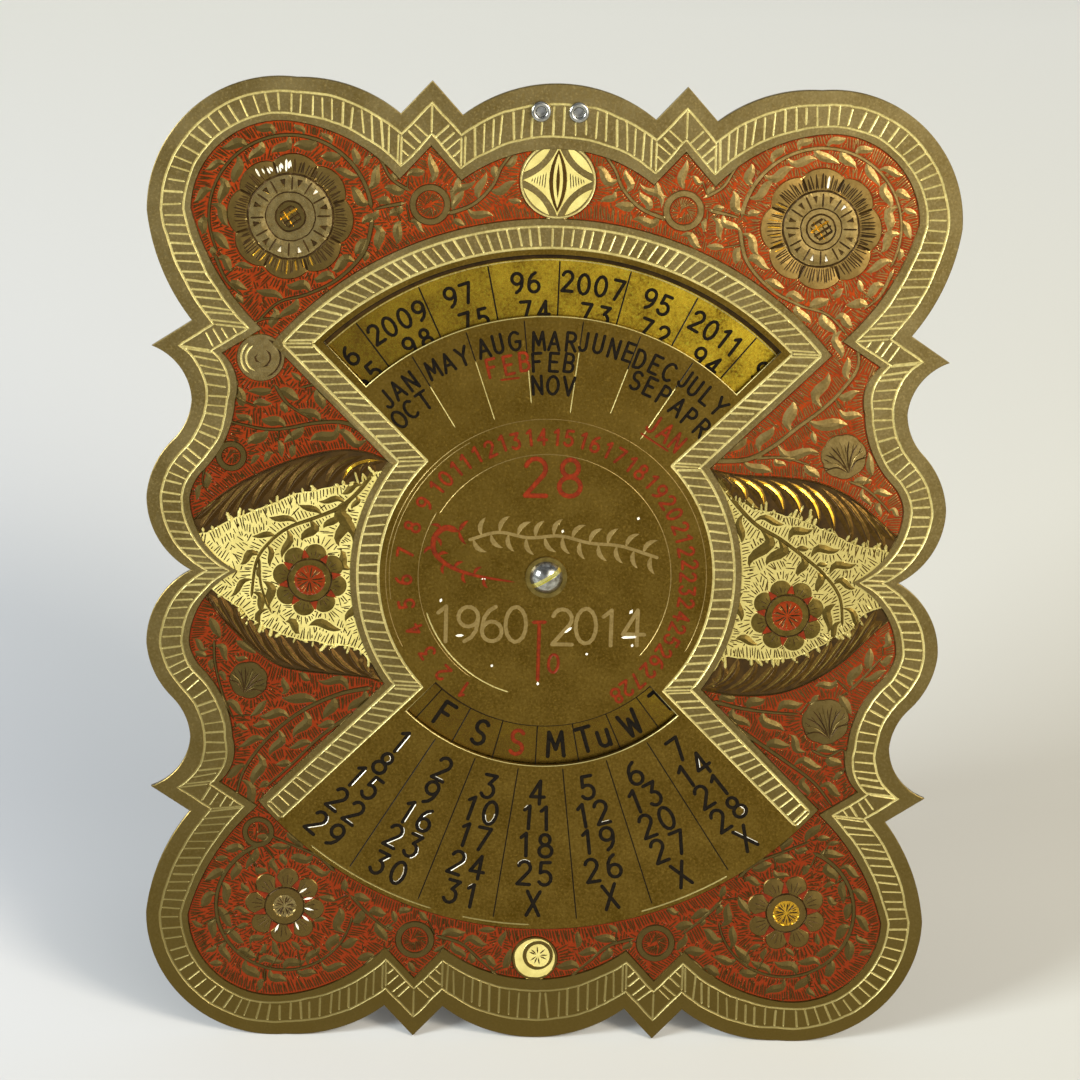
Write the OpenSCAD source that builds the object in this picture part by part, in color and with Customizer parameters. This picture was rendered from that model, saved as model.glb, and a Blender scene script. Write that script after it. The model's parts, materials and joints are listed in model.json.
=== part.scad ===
// Perpetual desk calendar: an engraved brass plate with two windows, a dial that
// turns behind it on a screw, and a hinged strut that holds it up.
// The plate's pieces are drawn flat, in the plate's own frame: x to the right, y up
// the plate, z out of its front face, origin on the dial's axis. Then stand() leans
// them back. The finished part stands on z = 0 with its front towards -y.

/* [Stand] */
// Backward lean of the plate from upright, in degrees
lean = 12; // [8:1:20]
// Angle between the plate and the open strut, in degrees
strut_angle = 22; // [15:1:28]

/* [Front plate] */
// Width across the side lobes
plate_w = 130; // [120:1:150]
// Height across the corner lobes
plate_h = 160; // [150:1:190]
// Thickness of the brass sheet
plate_t = 1; // [0.6:0.1:2]
// Width of the lobe at the middle of the top and bottom edges
centre_lobe_w = 30.6; // [26:0.2:34]
// Width of a spike at its root
spike_w = 9.8; // [6:0.2:12]
// Height of a spike above its root
spike_h = 5.3; // [3:0.1:8]
// Distance from the side edge to the highest point of a corner lobe
corner_w = 23.5; // [20:0.5:27]
// Distance from the top edge to the widest point of a corner lobe
corner_h = 21.5; // [18:0.5:25]
// Depth of the cusps and necks in the side edges
notch = 7.2; // [5:0.2:9]
// Height of the side barbs' tips above the dial's axis
barb_y = 36.8; // [34:0.2:40]
// Height of a barb's upper cusp above its tip
barb_h = 4.2; // [3:0.1:6]
// Distance from a barb's tip down to the neck under it
neck_drop = 8.6; // [7:0.1:10]
// Height of the side lobes' widest points above the dial's axis
side_lobe_y = 12.3; // [10:0.1:14]
// Height from a side lobe's widest point up to where its curve turns
side_lobe_rise = 9.3; // [8:0.1:11]

/* [Border and carved fields] */
// Width of the plain and ruled border along the plate's edge
border_w = 6.9; // [4:0.1:8]
// Width of the ruled band around the hourglass panel
band_w = 3.4; // [2:0.1:5]
// Plain rim on the outside of the ruled band
band_rim = 1.2; // [0.5:0.1:2]
// Depth of the carved fields that hold the coloured lacquer
field_depth = 0.3; // [0.1:0.05:0.4]
// Radius of the big rosettes in the upper corners
rosette_r = 9.7; // [7:0.1:10]
// Radius of the flowers in the lower corners
flower_r = 6.7; // [5:0.1:9]
// Radius of the medallion at the top
medallion_r = 6.2; // [4:0.1:6.4]
// Radius of the small medallion at the bottom
small_medallion_r = 3.9; // [2.5:0.1:5]
// Outer radius of the small rings beside the spikes
ring_r = 3.3; // [2:0.1:4]
// Width of the small rings' bands
ring_w = 1.1; // [0.6:0.1:1.5]

/* [Windows] */
// Inner radius of the window for the years
year_r_in = 43; // [40:0.2:46]
// Height of the window for the years, measured along the radius
year_h = 9.8; // [6:0.1:11]
// Inner radius of the window for the weekdays
day_r_in = 25.4; // [22:0.1:26]
// Height of the window for the weekdays, measured along the radius
day_h = 6.8; // [5:0.1:8]
// Half the angle that each window spans, in degrees
window_half = 44; // [30:1:44]
// Half the angle of the hourglass panel's two fans, in degrees
fan_half = 45; // [45:0.5:46]
// Outer radius of the lower fan, which holds the dates
date_r = 60.7; // [58:0.1:62]
// Outer radius of the round waist between the fans, inside its ruled band
waist_r = 27.4; // [26.6:0.1:29]

/* [Dial] */
// How far the dial reaches past the window for the years
dial_overlap = 3.2; // [2:0.1:4.5]
// Thickness of the dial
dial_t = 0.7; // [0.5:0.1:1.5]
// Space between the plate and the dial
dial_gap = 0.5; // [0.4:0.1:1.5]

/* [Pivot screw] */
// Diameter of the screw
screw_d = 3; // [2.5:0.5:4]
// Diameter of its domed head
head_d = 5.4; // [5.2:0.1:7]
// Height of its domed head
head_h = 1.6; // [1.2:0.1:2.4]
// Width of the screwdriver slot
slot_w = 0.7; // [0.5:0.1:1]
// Depth of the screwdriver slot
slot_depth = 0.7; // [0.4:0.1:1]
// Turn of the slot from level, in degrees
slot_turn = 33; // [0:1:180]
// How far the screw's end stands out of the last nut
screw_end = 0.8; // [0.4:0.1:2]

/* [Washers and nuts] */
// Diameter of the washers
washer_d = 6.8; // [6.2:0.1:9]
// Thickness of the plain washers
washer_t = 0.5; // [0.3:0.1:1]
// Thickness of the spring washer's metal
spring_t = 0.3; // [0.2:0.05:0.4]
// Height of the spring washer's cone, with its metal
spring_h = 0.55; // [0.45:0.05:1]
// Width of the nuts across their flats
nut_w = 5.5; // [5.2:0.1:7]
// Thickness of each nut
nut_t = 1.8; // [1.2:0.1:2.4]

/* [Hinge] */
// Length of the hinge along its pin
hinge_w = 16; // [12:0.5:22]
// Length of the middle knuckle, which belongs to the strut
knuckle_w = 4.6; // [3:0.2:7]
// Diameter of the hinge pin
pin_d = 1.4; // [1:0.1:2]
// Thickness of the hinge's two leaves
leaf_t = 0.6; // [0.4:0.1:0.9]
// Height of the fixed leaf above the pin
fixed_leaf_h = 10; // [9.5:0.1:11]
// Length of the moving leaf below the pin
moving_leaf_h = 10; // [9.5:0.5:14]

/* [Strut] */
// Thickness of the strut
strut_t = 1; // [0.8:0.1:1.6]
// Width of the strut at its top
strut_top_w = 16; // [12:0.5:22]
// Width of the strut at its foot
strut_foot_w = 32; // [20:1:50]
// Radius of the rounded corners at the strut's top
strut_corner_r = 2.5; // [1:0.5:5]

/* [Rivets] */
// Distance between the two rivets of a pair
rivet_spacing = 6; // [5.6:0.1:7]
// Distance of the plate's rivets below the top edge
rivet_drop = 4.4; // [4:0.1:5]
// Height of the plate's rivets above the hinge pin
rivet_rise = 7.1; // [6.8:0.1:7.4]
// Diameter of the rivets' shanks
rivet_d = 2.2; // [1.6:0.1:2.4]
// Diameter of the rivets' heads
rivet_head_d = 4; // [3.6:0.1:4.6]
// Height of the rivets' heads
rivet_head_h = 0.7; // [0.5:0.1:1]
// Radius of the rolled lip that closes the plate's tubular rivets in front
lip_r = 0.45; // [0.3:0.05:0.5]

/* [Clearances] */
// Radial play of what turns on a pin or screw
running_play = 0.05; // [0.02:0.01:0.08]
// Radial play of a screw or rivet in its hole
hole_play = 0.1; // [0.05:0.05:0.2]
// Radial play between the screw and its nuts, which stands for the thread
thread_play = 0.03; // [0.01:0.01:0.05]
// Play of the dial along its axis, on each side
end_play = 0.05; // [0.03:0.01:0.1]
// Free space around the moving knuckle and leaf
knuckle_play = 0.3; // [0.2:0.05:0.5]
// Space left at the strut's stop
stop_gap = 0.1; // [0.05:0.05:0.2]

/* [Hidden] */
$fn = 96;

antique_brass = [0.50, 0.42, 0.22];
bright_brass = [0.72, 0.60, 0.22];
nickel = [0.75, 0.75, 0.74];
past = 1; // how far a cutter reaches past the faces it cuts
straight = 0.001; // bulge of a stretch that is as good as straight
facet = 1.8; // length of the outline's facets along its arcs

half_w = plate_w / 2;
half_h = plate_h / 2;

// A bulge is an arc's height over its chord, positive where the arc swells outwards.
// The outline's corners in the upper right quarter, from the centre lobe's end down
// to the cusp at the middle of the side, and the bulges of the arcs between them
quarter = [
    [centre_lobe_w / 2, half_h - spike_h],
    [centre_lobe_w / 2 + spike_w / 2, half_h],
    [centre_lobe_w / 2 + spike_w, half_h - spike_h],
    [half_w - corner_w, half_h],
    [half_w, half_h - corner_h],
    [half_w - notch, barb_y + barb_h],
    [half_w - notch / 9, barb_y],
    [half_w - notch, barb_y - neck_drop],
    [half_w - notch * 0.6, side_lobe_y + side_lobe_rise],
    [half_w, side_lobe_y],
    [half_w - notch, 0]
];
quarter_bulges = [straight, straight, 0.09, 0.225, 0.07, straight, -0.15, -0.09, 0.09, 0.14];
centre_bulge = spike_h / centre_lobe_w;

fan_r = year_r_in + year_h + band_rim + band_w;
day_r_out = day_r_in + day_h;
leg_offset = 0.64; // distance of the fans' straight sides from the line through the axis
dial_r = year_r_in + year_h + dial_overlap;

rosette = [half_w - 22.7, half_h - 22];
flower = [half_w - 23, -half_h + 22.7];
medallion_y = (fan_r + half_h) / 2 - 4;
small_medallion_y = -(date_r + half_h) / 2 + 4.4;
ring_x = centre_lobe_w / 2 + spike_w / 2;
ring_y = half_h - 19.6;
low_ring_y = -half_h + 17;

screw_r = screw_d / 2;
spring_z = -plate_t - dial_gap - dial_t - end_play;
rear_washer_z = spring_z - spring_h;
nut_z = rear_washer_z - washer_t;
lock_nut_z = nut_z - nut_t;
screw_z = lock_nut_z - nut_t - screw_end;

pin_r = pin_d / 2;
barrel_r = pin_r + leaf_t;
rivet_y = half_h - rivet_drop;
hinge_y = rivet_y - rivet_rise;
hinge_z = -plate_t - barrel_r - knuckle_play;
leaf_front = leaf_t - barrel_r; // the moving leaf's front face, from the pin's axis
heel_h = (-plate_t - leaf_t - stop_gap - hinge_z - leaf_front * cos(strut_angle)) / sin(strut_angle);
strut_rivet_y = -(barrel_r + knuckle_play + moving_leaf_h) / 2;

lift = half_h * cos(lean) + plate_t * sin(lean);
pin_height = hinge_y * cos(lean) + hinge_z * sin(lean) + lift;
pin_back = hinge_y * sin(lean) - hinge_z * cos(lean);
leg_tilt = strut_angle - lean;
front_reach = -half_h * sin(lean);
foot_back = pin_back + pin_height * tan(leg_tilt) - leaf_front / cos(leg_tilt);
centre_back = (front_reach + foot_back) / 2;

// Leans the flat pieces back and sets them on the ground, centred front to back
module stand() {
    translate([0, -centre_back, lift]) rotate([90 - lean, 0, 0]) children();
}

// The moving leaf and the strut are drawn with the pin's axis as origin, hanging down -y
module on_pin() {
    stand() translate([0, hinge_y, hinge_z]) rotate([strut_angle, 0, 0]) children();
}

function reversed(v) = [for (i = [len(v) - 1:-1:0]) v[i]];
function tail(v) = [for (i = [1:len(v) - 1]) v[i]];
function flipped(v, sx, sy) = [for (p = v) [p.x * sx, p.y * sy]];

corners = concat(quarter, tail(reversed(flipped(quarter, 1, -1))), flipped(quarter, -1, -1),
    tail(reversed(flipped(quarter, -1, 1))));
side_bulges = concat(quarter_bulges, reversed(quarter_bulges), [centre_bulge]);
bulges = concat(side_bulges, side_bulges);

// Signed radius and centre of the arc from p to q, going clockwise round the outline
function arc_r(p, q, b) = norm(q - p) * (0.25 + b * b) / (2 * b);
function arc_c(p, q, b) =
    let (u = (q - p) / norm(q - p))
    (p + q) / 2 + [-u.y, u.x] * (b * norm(q - p) - arc_r(p, q, b));

// Where two circles cross, on the side nearer to the point old
function crossing(c1, r1, c2, r2, old) =
    let (d = norm(c2 - c1), a = (r1 * r1 - r2 * r2 + d * d) / (2 * d))
    let (h = sqrt(max(0, r1 * r1 - a * a)), u = (c2 - c1) / d)
    let (one = c1 + u * a + [-u.y, u.x] * h, two = c1 + u * a - [-u.y, u.x] * h)
    norm(one - old) < norm(two - old) ? one : two;

// Corner i of the outline once every arc has moved inwards by inset
function moved(i, inset) =
    let (n = len(corners), j = (i + n - 1) % n, k = (i + 1) % n)
    crossing(
        arc_c(corners[j], corners[i], bulges[j]),
        arc_r(corners[j], corners[i], bulges[j]) - inset,
        arc_c(corners[i], corners[k], bulges[i]),
        arc_r(corners[i], corners[k], bulges[i]) - inset,
        corners[i]);

// Points of the arc from p to q about c with signed radius r, without q
function arc_points(p, q, c, r) =
    let (start = atan2(p.y - c.y, p.x - c.x), end = atan2(q.y - c.y, q.x - c.x))
    let (turn = (end - start + 540) % 360 - 180, n = ceil(norm(q - p) / facet))
    abs(turn) < 1 ? [p] : [for (i = [0:n - 1]) c + abs(r) * [cos(start + turn * i / n), sin(start + turn * i / n)]];

// The plate's outline moved inwards by inset
function outline(inset) = [for (i = [0:len(corners) - 1])
    let (k = (i + 1) % len(corners), p = corners[i], q = corners[k])
    each arc_points(moved(i, inset), moved(k, inset), arc_c(p, q, bulges[i]), arc_r(p, q, bulges[i]) - inset)];

// A fan opening upwards from the axis, out to radius r, its sides moved out by side
module fan(r, side) {
    reach = 2 * r;
    x = side / cos(fan_half);
    intersection() {
        circle(r);
        polygon([[-x, 0], [x, 0], [x + reach * tan(fan_half), reach], [-x - reach * tan(fan_half), reach]]);
    }
}

// A window between radii r and r + h, spanning window_half each side of straight up
module window(r, h) {
    reach = 2 * r;
    intersection() {
        difference() {
            circle(r + h);
            circle(r);
        }
        polygon([[0, 0], [reach * tan(window_half), reach], [-reach * tan(window_half), reach]]);
    }
}

// The plain panel that carries the calendar, with its ruled band and rim
module hourglass() {
    side = leg_offset + band_w + band_rim;
    fan(fan_r + band_rim, side);
    mirror([0, 1, 0]) fan(date_r, side);
    circle(waist_r + band_w + band_rim);
}

module ring(r, w) {
    difference() {
        circle(r);
        circle(r - w);
    }
}

// What stands at full height inside the carved fields
module islands() {
    hourglass();
    translate([0, medallion_y]) circle(medallion_r);
    translate([0, small_medallion_y]) circle(small_medallion_r);
    for (side = [-1, 1]) {
        translate([side * rosette.x, rosette.y]) circle(rosette_r);
        translate([side * flower.x, flower.y]) circle(flower_r);
        translate([side * ring_x, ring_y]) ring(ring_r, ring_w);
        translate([side * ring_x, low_ring_y]) ring(ring_r, ring_w);
    }
}

module front_plate() {
    hole_r = rivet_d / 2 + hole_play;
    color(antique_brass) stand() difference() {
        translate([0, 0, -plate_t]) linear_extrude(plate_t) polygon(outline(0));
        translate([0, 0, -field_depth]) linear_extrude(field_depth + past) difference() {
            polygon(outline(border_w));
            islands();
        }
        translate([0, 0, -plate_t - past]) linear_extrude(plate_t + 2 * past) {
            window(year_r_in, year_h);
            mirror([0, 1, 0]) window(day_r_in, day_h);
        }
        translate([0, 0, -plate_t - past]) cylinder(r = screw_r + hole_play, h = plate_t + 2 * past);
        for (side = [-1, 1])
            translate([side * rivet_spacing / 2, rivet_y, -plate_t - past])
                cylinder(r = hole_r, h = plate_t + 2 * past);
    }
}

// A flat ring about the dial's axis, from z up to z + t
module washer(d, bore_r, z, t) {
    translate([0, 0, z]) difference() {
        cylinder(d = d, h = t);
        translate([0, 0, -past]) cylinder(r = bore_r, h = t + 2 * past);
    }
}

module dial_disc() {
    color(bright_brass) stand()
        washer(2 * dial_r, screw_r + running_play, -plate_t - dial_gap - dial_t, dial_t);
}

module pivot_screw() {
    head_r = head_d / 2;
    dome_r = (head_r * head_r + head_h * head_h) / (2 * head_h);
    color(nickel) stand() difference() {
        union() {
            translate([0, 0, screw_z]) cylinder(r = screw_r, h = washer_t - screw_z);
            translate([0, 0, washer_t]) intersection() {
                cylinder(r = head_r + past, h = head_h);
                translate([0, 0, head_h - dome_r]) sphere(r = dome_r);
            }
        }
        rotate([0, 0, slot_turn])
            translate([-head_r - past, -slot_w / 2, washer_t + head_h - slot_depth])
                cube([2 * (head_r + past), slot_w, slot_depth + past]);
    }
}

module head_washer() {
    color(nickel) stand() washer(washer_d, screw_r + hole_play, 0, washer_t);
}

module spacer_washer() {
    color(bright_brass) stand()
        washer(washer_d, screw_r + hole_play, -plate_t - dial_gap + end_play, dial_gap - end_play);
}

// A shallow cone that presses the dial lightly against its spacer
module spring_washer() {
    bore = screw_r + hole_play;
    rim = washer_d / 2;
    color(nickel) stand() translate([0, 0, rear_washer_z]) rotate_extrude()
        polygon([[bore, 0], [bore, spring_t], [rim, spring_h], [rim, spring_h - spring_t]]);
}

module rear_washer() {
    color(bright_brass) stand() washer(washer_d, screw_r + hole_play, nut_z, washer_t);
}

// A hexagonal nut whose front face lies at z
module nut(z) {
    translate([0, 0, z - nut_t]) difference() {
        cylinder(d = nut_w / cos(30), h = nut_t, $fn = 6);
        translate([0, 0, -past]) cylinder(r = screw_r + thread_play, h = nut_t + 2 * past);
    }
}

module pivot_nut() {
    color(bright_brass) stand() nut(nut_z);
}

module lock_nut() {
    color(bright_brass) stand() nut(lock_nut_z);
}

// A cylinder of radius r along x, centred on the pin and w long
module along_pin(r, w) {
    rotate([0, 90, 0]) translate([0, 0, -w / 2]) cylinder(r = r, h = w);
}

module fixed_leaf() {
    gap_w = knuckle_w + 2 * knuckle_play;
    clear_y = barrel_r + 2 * knuckle_play;
    color(bright_brass) stand() difference() {
        union() {
            translate([-hinge_w / 2, hinge_y, -plate_t - leaf_t]) cube([hinge_w, fixed_leaf_h, leaf_t]);
            translate([0, hinge_y, hinge_z]) along_pin(barrel_r, hinge_w);
        }
        translate([-gap_w / 2, hinge_y - clear_y, hinge_z - barrel_r - past])
            cube([gap_w, 2 * clear_y, -plate_t - hinge_z + barrel_r + 2 * past]);
        translate([0, hinge_y, hinge_z]) along_pin(pin_r + hole_play / 4, hinge_w + 2 * past);
        for (side = [-1, 1])
            translate([side * rivet_spacing / 2, rivet_y, -plate_t - leaf_t - past])
                cylinder(r = rivet_d / 2 + hole_play, h = leaf_t + 2 * past);
    }
}

// The leaf on the strut. Its heel reaches above the pin and stops on the fixed leaf.
module moving_leaf() {
    top = -barrel_r - knuckle_play;
    color(bright_brass) on_pin() difference() {
        union() {
            along_pin(barrel_r, knuckle_w);
            translate([-knuckle_w / 2, top - past, -barrel_r]) cube([knuckle_w, heel_h - top + past, leaf_t]);
            translate([-hinge_w / 2, -moving_leaf_h, -barrel_r]) cube([hinge_w, moving_leaf_h + top, leaf_t]);
        }
        along_pin(pin_r + running_play, knuckle_w + 2 * past);
        for (side = [-1, 1])
            translate([side * rivet_spacing / 2, strut_rivet_y, -barrel_r - past])
                cylinder(r = rivet_d / 2 + hole_play, h = leaf_t + 2 * past);
    }
}

module hinge_pin() {
    color(nickel) stand() translate([0, hinge_y, hinge_z]) along_pin(pin_r, hinge_w);
}

// A tubular rivet through the plate and the fixed leaf, rolled over in front
module plate_rivet(side) {
    r = rivet_d / 2;
    bottom = -plate_t - leaf_t;
    bore_depth = plate_t + leaf_t / 2;
    color(nickel) stand() translate([side * rivet_spacing / 2, rivet_y, 0]) difference() {
        union() {
            translate([0, 0, bottom - rivet_head_h]) cylinder(d = rivet_head_d, h = rivet_head_h);
            translate([0, 0, bottom]) cylinder(r = r, h = -bottom + lip_r);
            translate([0, 0, lip_r]) rotate_extrude() translate([r + hole_play, 0]) circle(r = lip_r, $fn = 32);
        }
        translate([0, 0, -bore_depth]) cylinder(r = r - lip_r, h = bore_depth + past);
    }
}

module plate_rivet_left() {
    plate_rivet(-1);
}

module plate_rivet_right() {
    plate_rivet(1);
}

// A tapered sheet from just below the hinge to the ground, its foot cut level
module strut() {
    length = pin_height / cos(leg_tilt) + strut_t;
    corner_x = strut_top_w / 2 - strut_corner_r;
    corner_y = -barrel_r - 2 * knuckle_play - strut_corner_r;
    color(antique_brass) on_pin() difference() {
        translate([0, 0, leaf_front]) linear_extrude(strut_t) polygon(concat(
            [[strut_foot_w / 2, -length]],
            [for (a = [0:10:90]) [corner_x, corner_y] + strut_corner_r * [cos(a), sin(a)]],
            [for (a = [90:10:180]) [-corner_x, corner_y] + strut_corner_r * [cos(a), sin(a)]],
            [[-strut_foot_w / 2, -length]]));
        rotate([-leg_tilt, 0, 0]) translate([-strut_foot_w, -2 * pin_height, -pin_height])
            cube([2 * strut_foot_w, pin_height, 2 * pin_height]);
        for (side = [-1, 1])
            translate([side * rivet_spacing / 2, strut_rivet_y, leaf_front - past])
                cylinder(r = rivet_d / 2 + hole_play, h = strut_t + 2 * past);
    }
}

// A solid rivet through the moving leaf and the strut, domed at both ends
module strut_rivet(side) {
    head_r = rivet_head_d / 2;
    dome_r = (head_r * head_r + rivet_head_h * rivet_head_h) / (2 * rivet_head_h);
    front = leaf_front + strut_t;
    color(bright_brass) on_pin() translate([side * rivet_spacing / 2, strut_rivet_y, 0]) {
        translate([0, 0, -barrel_r]) cylinder(d = rivet_d, h = front + barrel_r);
        translate([0, 0, front]) intersection() {
            cylinder(r = head_r + past, h = rivet_head_h);
            translate([0, 0, rivet_head_h - dome_r]) sphere(r = dome_r);
        }
        translate([0, 0, -barrel_r]) mirror([0, 0, 1]) intersection() {
            cylinder(r = head_r + past, h = rivet_head_h);
            translate([0, 0, rivet_head_h - dome_r]) sphere(r = dome_r);
        }
    }
}

module strut_rivet_left() {
    strut_rivet(-1);
}

module strut_rivet_right() {
    strut_rivet(1);
}

front_plate();
dial_disc();
pivot_screw();
head_washer();
spacer_washer();
spring_washer();
rear_washer();
pivot_nut();
lock_nut();
fixed_leaf();
moving_leaf();
hinge_pin();
plate_rivet_left();
plate_rivet_right();
strut();
strut_rivet_left();
strut_rivet_right();
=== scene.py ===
"""The looks of the perpetual desk calendar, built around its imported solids.

Flat work is drawn in the plate's own frame, in millimetres: x to the right, y up the plate,
z out of its front face, origin on the dial's axis. PLATE takes that frame to the model's frame.
"""
import json
import math

import bpy
import numpy as np
from mathutils import Matrix, Vector
from mathutils.geometry import delaunay_2d_cdt


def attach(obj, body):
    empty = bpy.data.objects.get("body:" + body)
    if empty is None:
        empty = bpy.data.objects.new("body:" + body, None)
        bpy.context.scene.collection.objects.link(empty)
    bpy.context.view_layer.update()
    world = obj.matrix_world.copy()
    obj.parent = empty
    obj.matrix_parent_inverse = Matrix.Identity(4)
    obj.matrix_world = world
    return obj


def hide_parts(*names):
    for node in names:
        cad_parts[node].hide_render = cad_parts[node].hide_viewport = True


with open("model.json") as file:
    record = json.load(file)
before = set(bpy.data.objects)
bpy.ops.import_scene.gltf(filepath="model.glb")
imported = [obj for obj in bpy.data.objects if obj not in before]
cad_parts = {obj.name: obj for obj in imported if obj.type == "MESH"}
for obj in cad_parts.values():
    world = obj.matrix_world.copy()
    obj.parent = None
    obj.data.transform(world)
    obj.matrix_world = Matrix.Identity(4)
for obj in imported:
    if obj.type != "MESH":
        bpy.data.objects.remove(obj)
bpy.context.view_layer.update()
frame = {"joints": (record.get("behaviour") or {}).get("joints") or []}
rng = np.random.default_rng(7)

MM = 0.001

# ---------------------------------------------------------------- driving dimensions, mm
HALF_W = 65.0
HALF_H = 80.0
PLATE_T = 1.0
SPIKE = (15.3, 4.9, 5.3)            # where a spike starts, half its width, its height
CORNER = (23.5, 21.5)               # a corner lobe's highest and widest points, from the edges
NOTCH = 7.2
BARB = (36.8, 4.2, 8.6)             # a barb's tip, the rise to its cusp, the drop to the neck
SIDE_LOBE = (12.3, 9.3)             # a side lobe's widest point, the rise to where it turns
LINES_AT = (2.3, 5.7)               # the border's two ruled lines, from the edge
FIELD_AT = 6.9                      # where the carved field starts, from the edge
FIELD_DEPTH = 0.3
POCKET_DEPTH = 0.45                 # how deep the pieces that fill the carved field sit
WALL = 0.16                         # width of a carved wall's slope

YEARS = (43.0, 52.8)                # radii of the window for the years
DAYS = (25.4, 32.2)                 # radii of the window for the weekdays
WINDOW_HALF = 44.0                  # half the angle of both windows, degrees
WAIST_R = 27.4
BAND = 3.4
RIM = 1.2
TOP_R = 54.0                        # inner line of the band over the years
LEG_OFF = 0.64                      # inner line of the legs, from the diagonal through the axis
DATE_R = 60.7
DIAL_R = 56.0
DIAL_T = 0.7
DIAL_Z = -1.5                       # front face of the dial
POSITIONS = 28                      # how many positions the dial has, one for each kind of year and month
PITCH = 360.0 / POSITIONS           # the dial's step, degrees
FIRST_YEAR, LAST_YEAR = 1960, 2014
SCREW_HOLE_R = 1.6
RIVET = (3.0, 75.6, 1.2)            # x, y and hole radius of the plate's rivets

# the finishes that a face of a carved sheet can have
(BRASS, RED, CREAM, BRIGHT, BLACK, RED_FILL, GOLD, SHADE, PEWTER, WORN, FEATHER, VINE, GLINT, PETAL, CENTRE,
 FAINT, OLIVE) = range(17)
EDGE_SLACK = 1e-4                   # a point this far outside a stroke's edge still counts as on it
LARGEST_PATCH = 11                  # no round ornament reaches further from its centre


def plate_matrix():
    """The plate's own frame, from the dial's joint: its origin and its axis."""
    joint = next(j for j in frame["joints"] if j["name"] == "dial_spin")
    z = Vector(joint["axis"]).normalized()
    x = Vector((1, 0, 0))
    y = z.cross(x)
    m = Matrix((x, y, z)).transposed().to_4x4()
    m.translation = Vector(joint["pos_m"])
    return m


PLATE = plate_matrix()


# ---------------------------------------------------------------- plane geometry
def polar(r, deg, centre=(0.0, 0.0)):
    """A point at radius r and deg degrees clockwise from straight up."""
    a = math.radians(deg)
    return np.array([centre[0] + r * math.sin(a), centre[1] + r * math.cos(a)])


def bearing(p):
    """The angle of a point, degrees clockwise from straight up."""
    return math.degrees(math.atan2(p[0], p[1]))


def arc(r, start, end, centre=(0.0, 0.0), step=0.9):
    """Points along an arc, angles clockwise from straight up."""
    n = max(2, int(math.ceil(abs(math.radians(end - start)) * r / step)) + 1)
    return np.array([polar(r, a, centre) for a in np.linspace(start, end, n)])


def circle(r, centre=(0.0, 0.0), step=0.9):
    """Points round a circle, without the last one twice."""
    return arc(r, 0, 360, centre, step)[:-1]


def left_of(v):
    """A vector, or each of a list of vectors, turned a quarter to the left."""
    return np.stack([-v[..., 1], v[..., 0]], -1)


def unit(v):
    """Each of a list of vectors at length one."""
    return v / np.maximum(np.linalg.norm(v, axis=1), 1e-9)[:, None]


def turned(v, angle):
    """Each of a list of vectors turned to the left by its own angle."""
    c, s = np.cos(angle), np.sin(angle)
    return np.stack([v[:, 0] * c - v[:, 1] * s, v[:, 0] * s + v[:, 1] * c], 1)


def lengths_to(p):
    """How far along a line each of its points lies."""
    return np.r_[0, np.cumsum(np.linalg.norm(np.diff(p, axis=0), axis=1))]


def at_lengths(p, lengths, wanted):
    """The places on a line at the wanted lengths along it."""
    return np.stack([np.interp(wanted, lengths, p[:, k]) for k in (0, 1)], -1)


def curve(points, step=0.7):
    """A smooth line through a few points (Catmull-Rom), in even short steps."""
    p = np.array(points, float)
    p = np.vstack([2 * p[0] - p[1], p, 2 * p[-1] - p[-2]])
    out = []
    for i in range(1, len(p) - 2):
        n = max(2, int(np.linalg.norm(p[i + 1] - p[i]) / step) + 1)
        for t in np.linspace(0, 1, n, endpoint=False):
            a, b, c, d = p[i - 1], p[i], p[i + 1], p[i + 2]
            out.append(0.5 * (2 * b + (c - a) * t + (2 * a - 5 * b + 4 * c - d) * t * t
                              + (3 * b - a - 3 * c + d) * t ** 3))
    out.append(p[-2])
    return np.array(out)


def normals(p, closed=False):
    """Unit normals to the left of a line, one at each point."""
    ahead = np.roll(p, -1, 0) - np.roll(p, 1, 0) if closed else np.gradient(p, axis=0)
    return left_of(unit(ahead))


def along(p, pitch, phase, closed=False):
    """Points every pitch along a line, the first at phase of a pitch, and the line's normals there."""
    if closed:
        p = np.vstack([p, p[:1]])
    d = lengths_to(p)
    n = max(1, int(round(d[-1] / pitch)))
    s = (np.arange(n) + phase) * d[-1] / n
    i = np.clip(np.searchsorted(d, s, side="right") - 1, 0, len(p) - 2)
    return at_lengths(p, d, s), left_of(unit(p[i + 1] - p[i]))


def inside(points, loop):
    """Which points lie inside a closed loop."""
    a, b = loop, np.roll(loop, -1, axis=0)
    slant = (b[:, 0] - a[:, 0]) / np.where(b[:, 1] == a[:, 1], 1.0, b[:, 1] - a[:, 1])
    out = np.zeros(len(points), bool)
    step = max(1, 2000000 // len(loop))
    for k in range(0, len(points), step):
        x, y = points[k:k + step, :1], points[k:k + step, 1:]
        crosses = (a[:, 1] > y) != (b[:, 1] > y)
        out[k:k + step] = (crosses & (x < a[:, 0] + slant * (y - a[:, 1]))).sum(1) % 2 == 1
    return out


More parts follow.
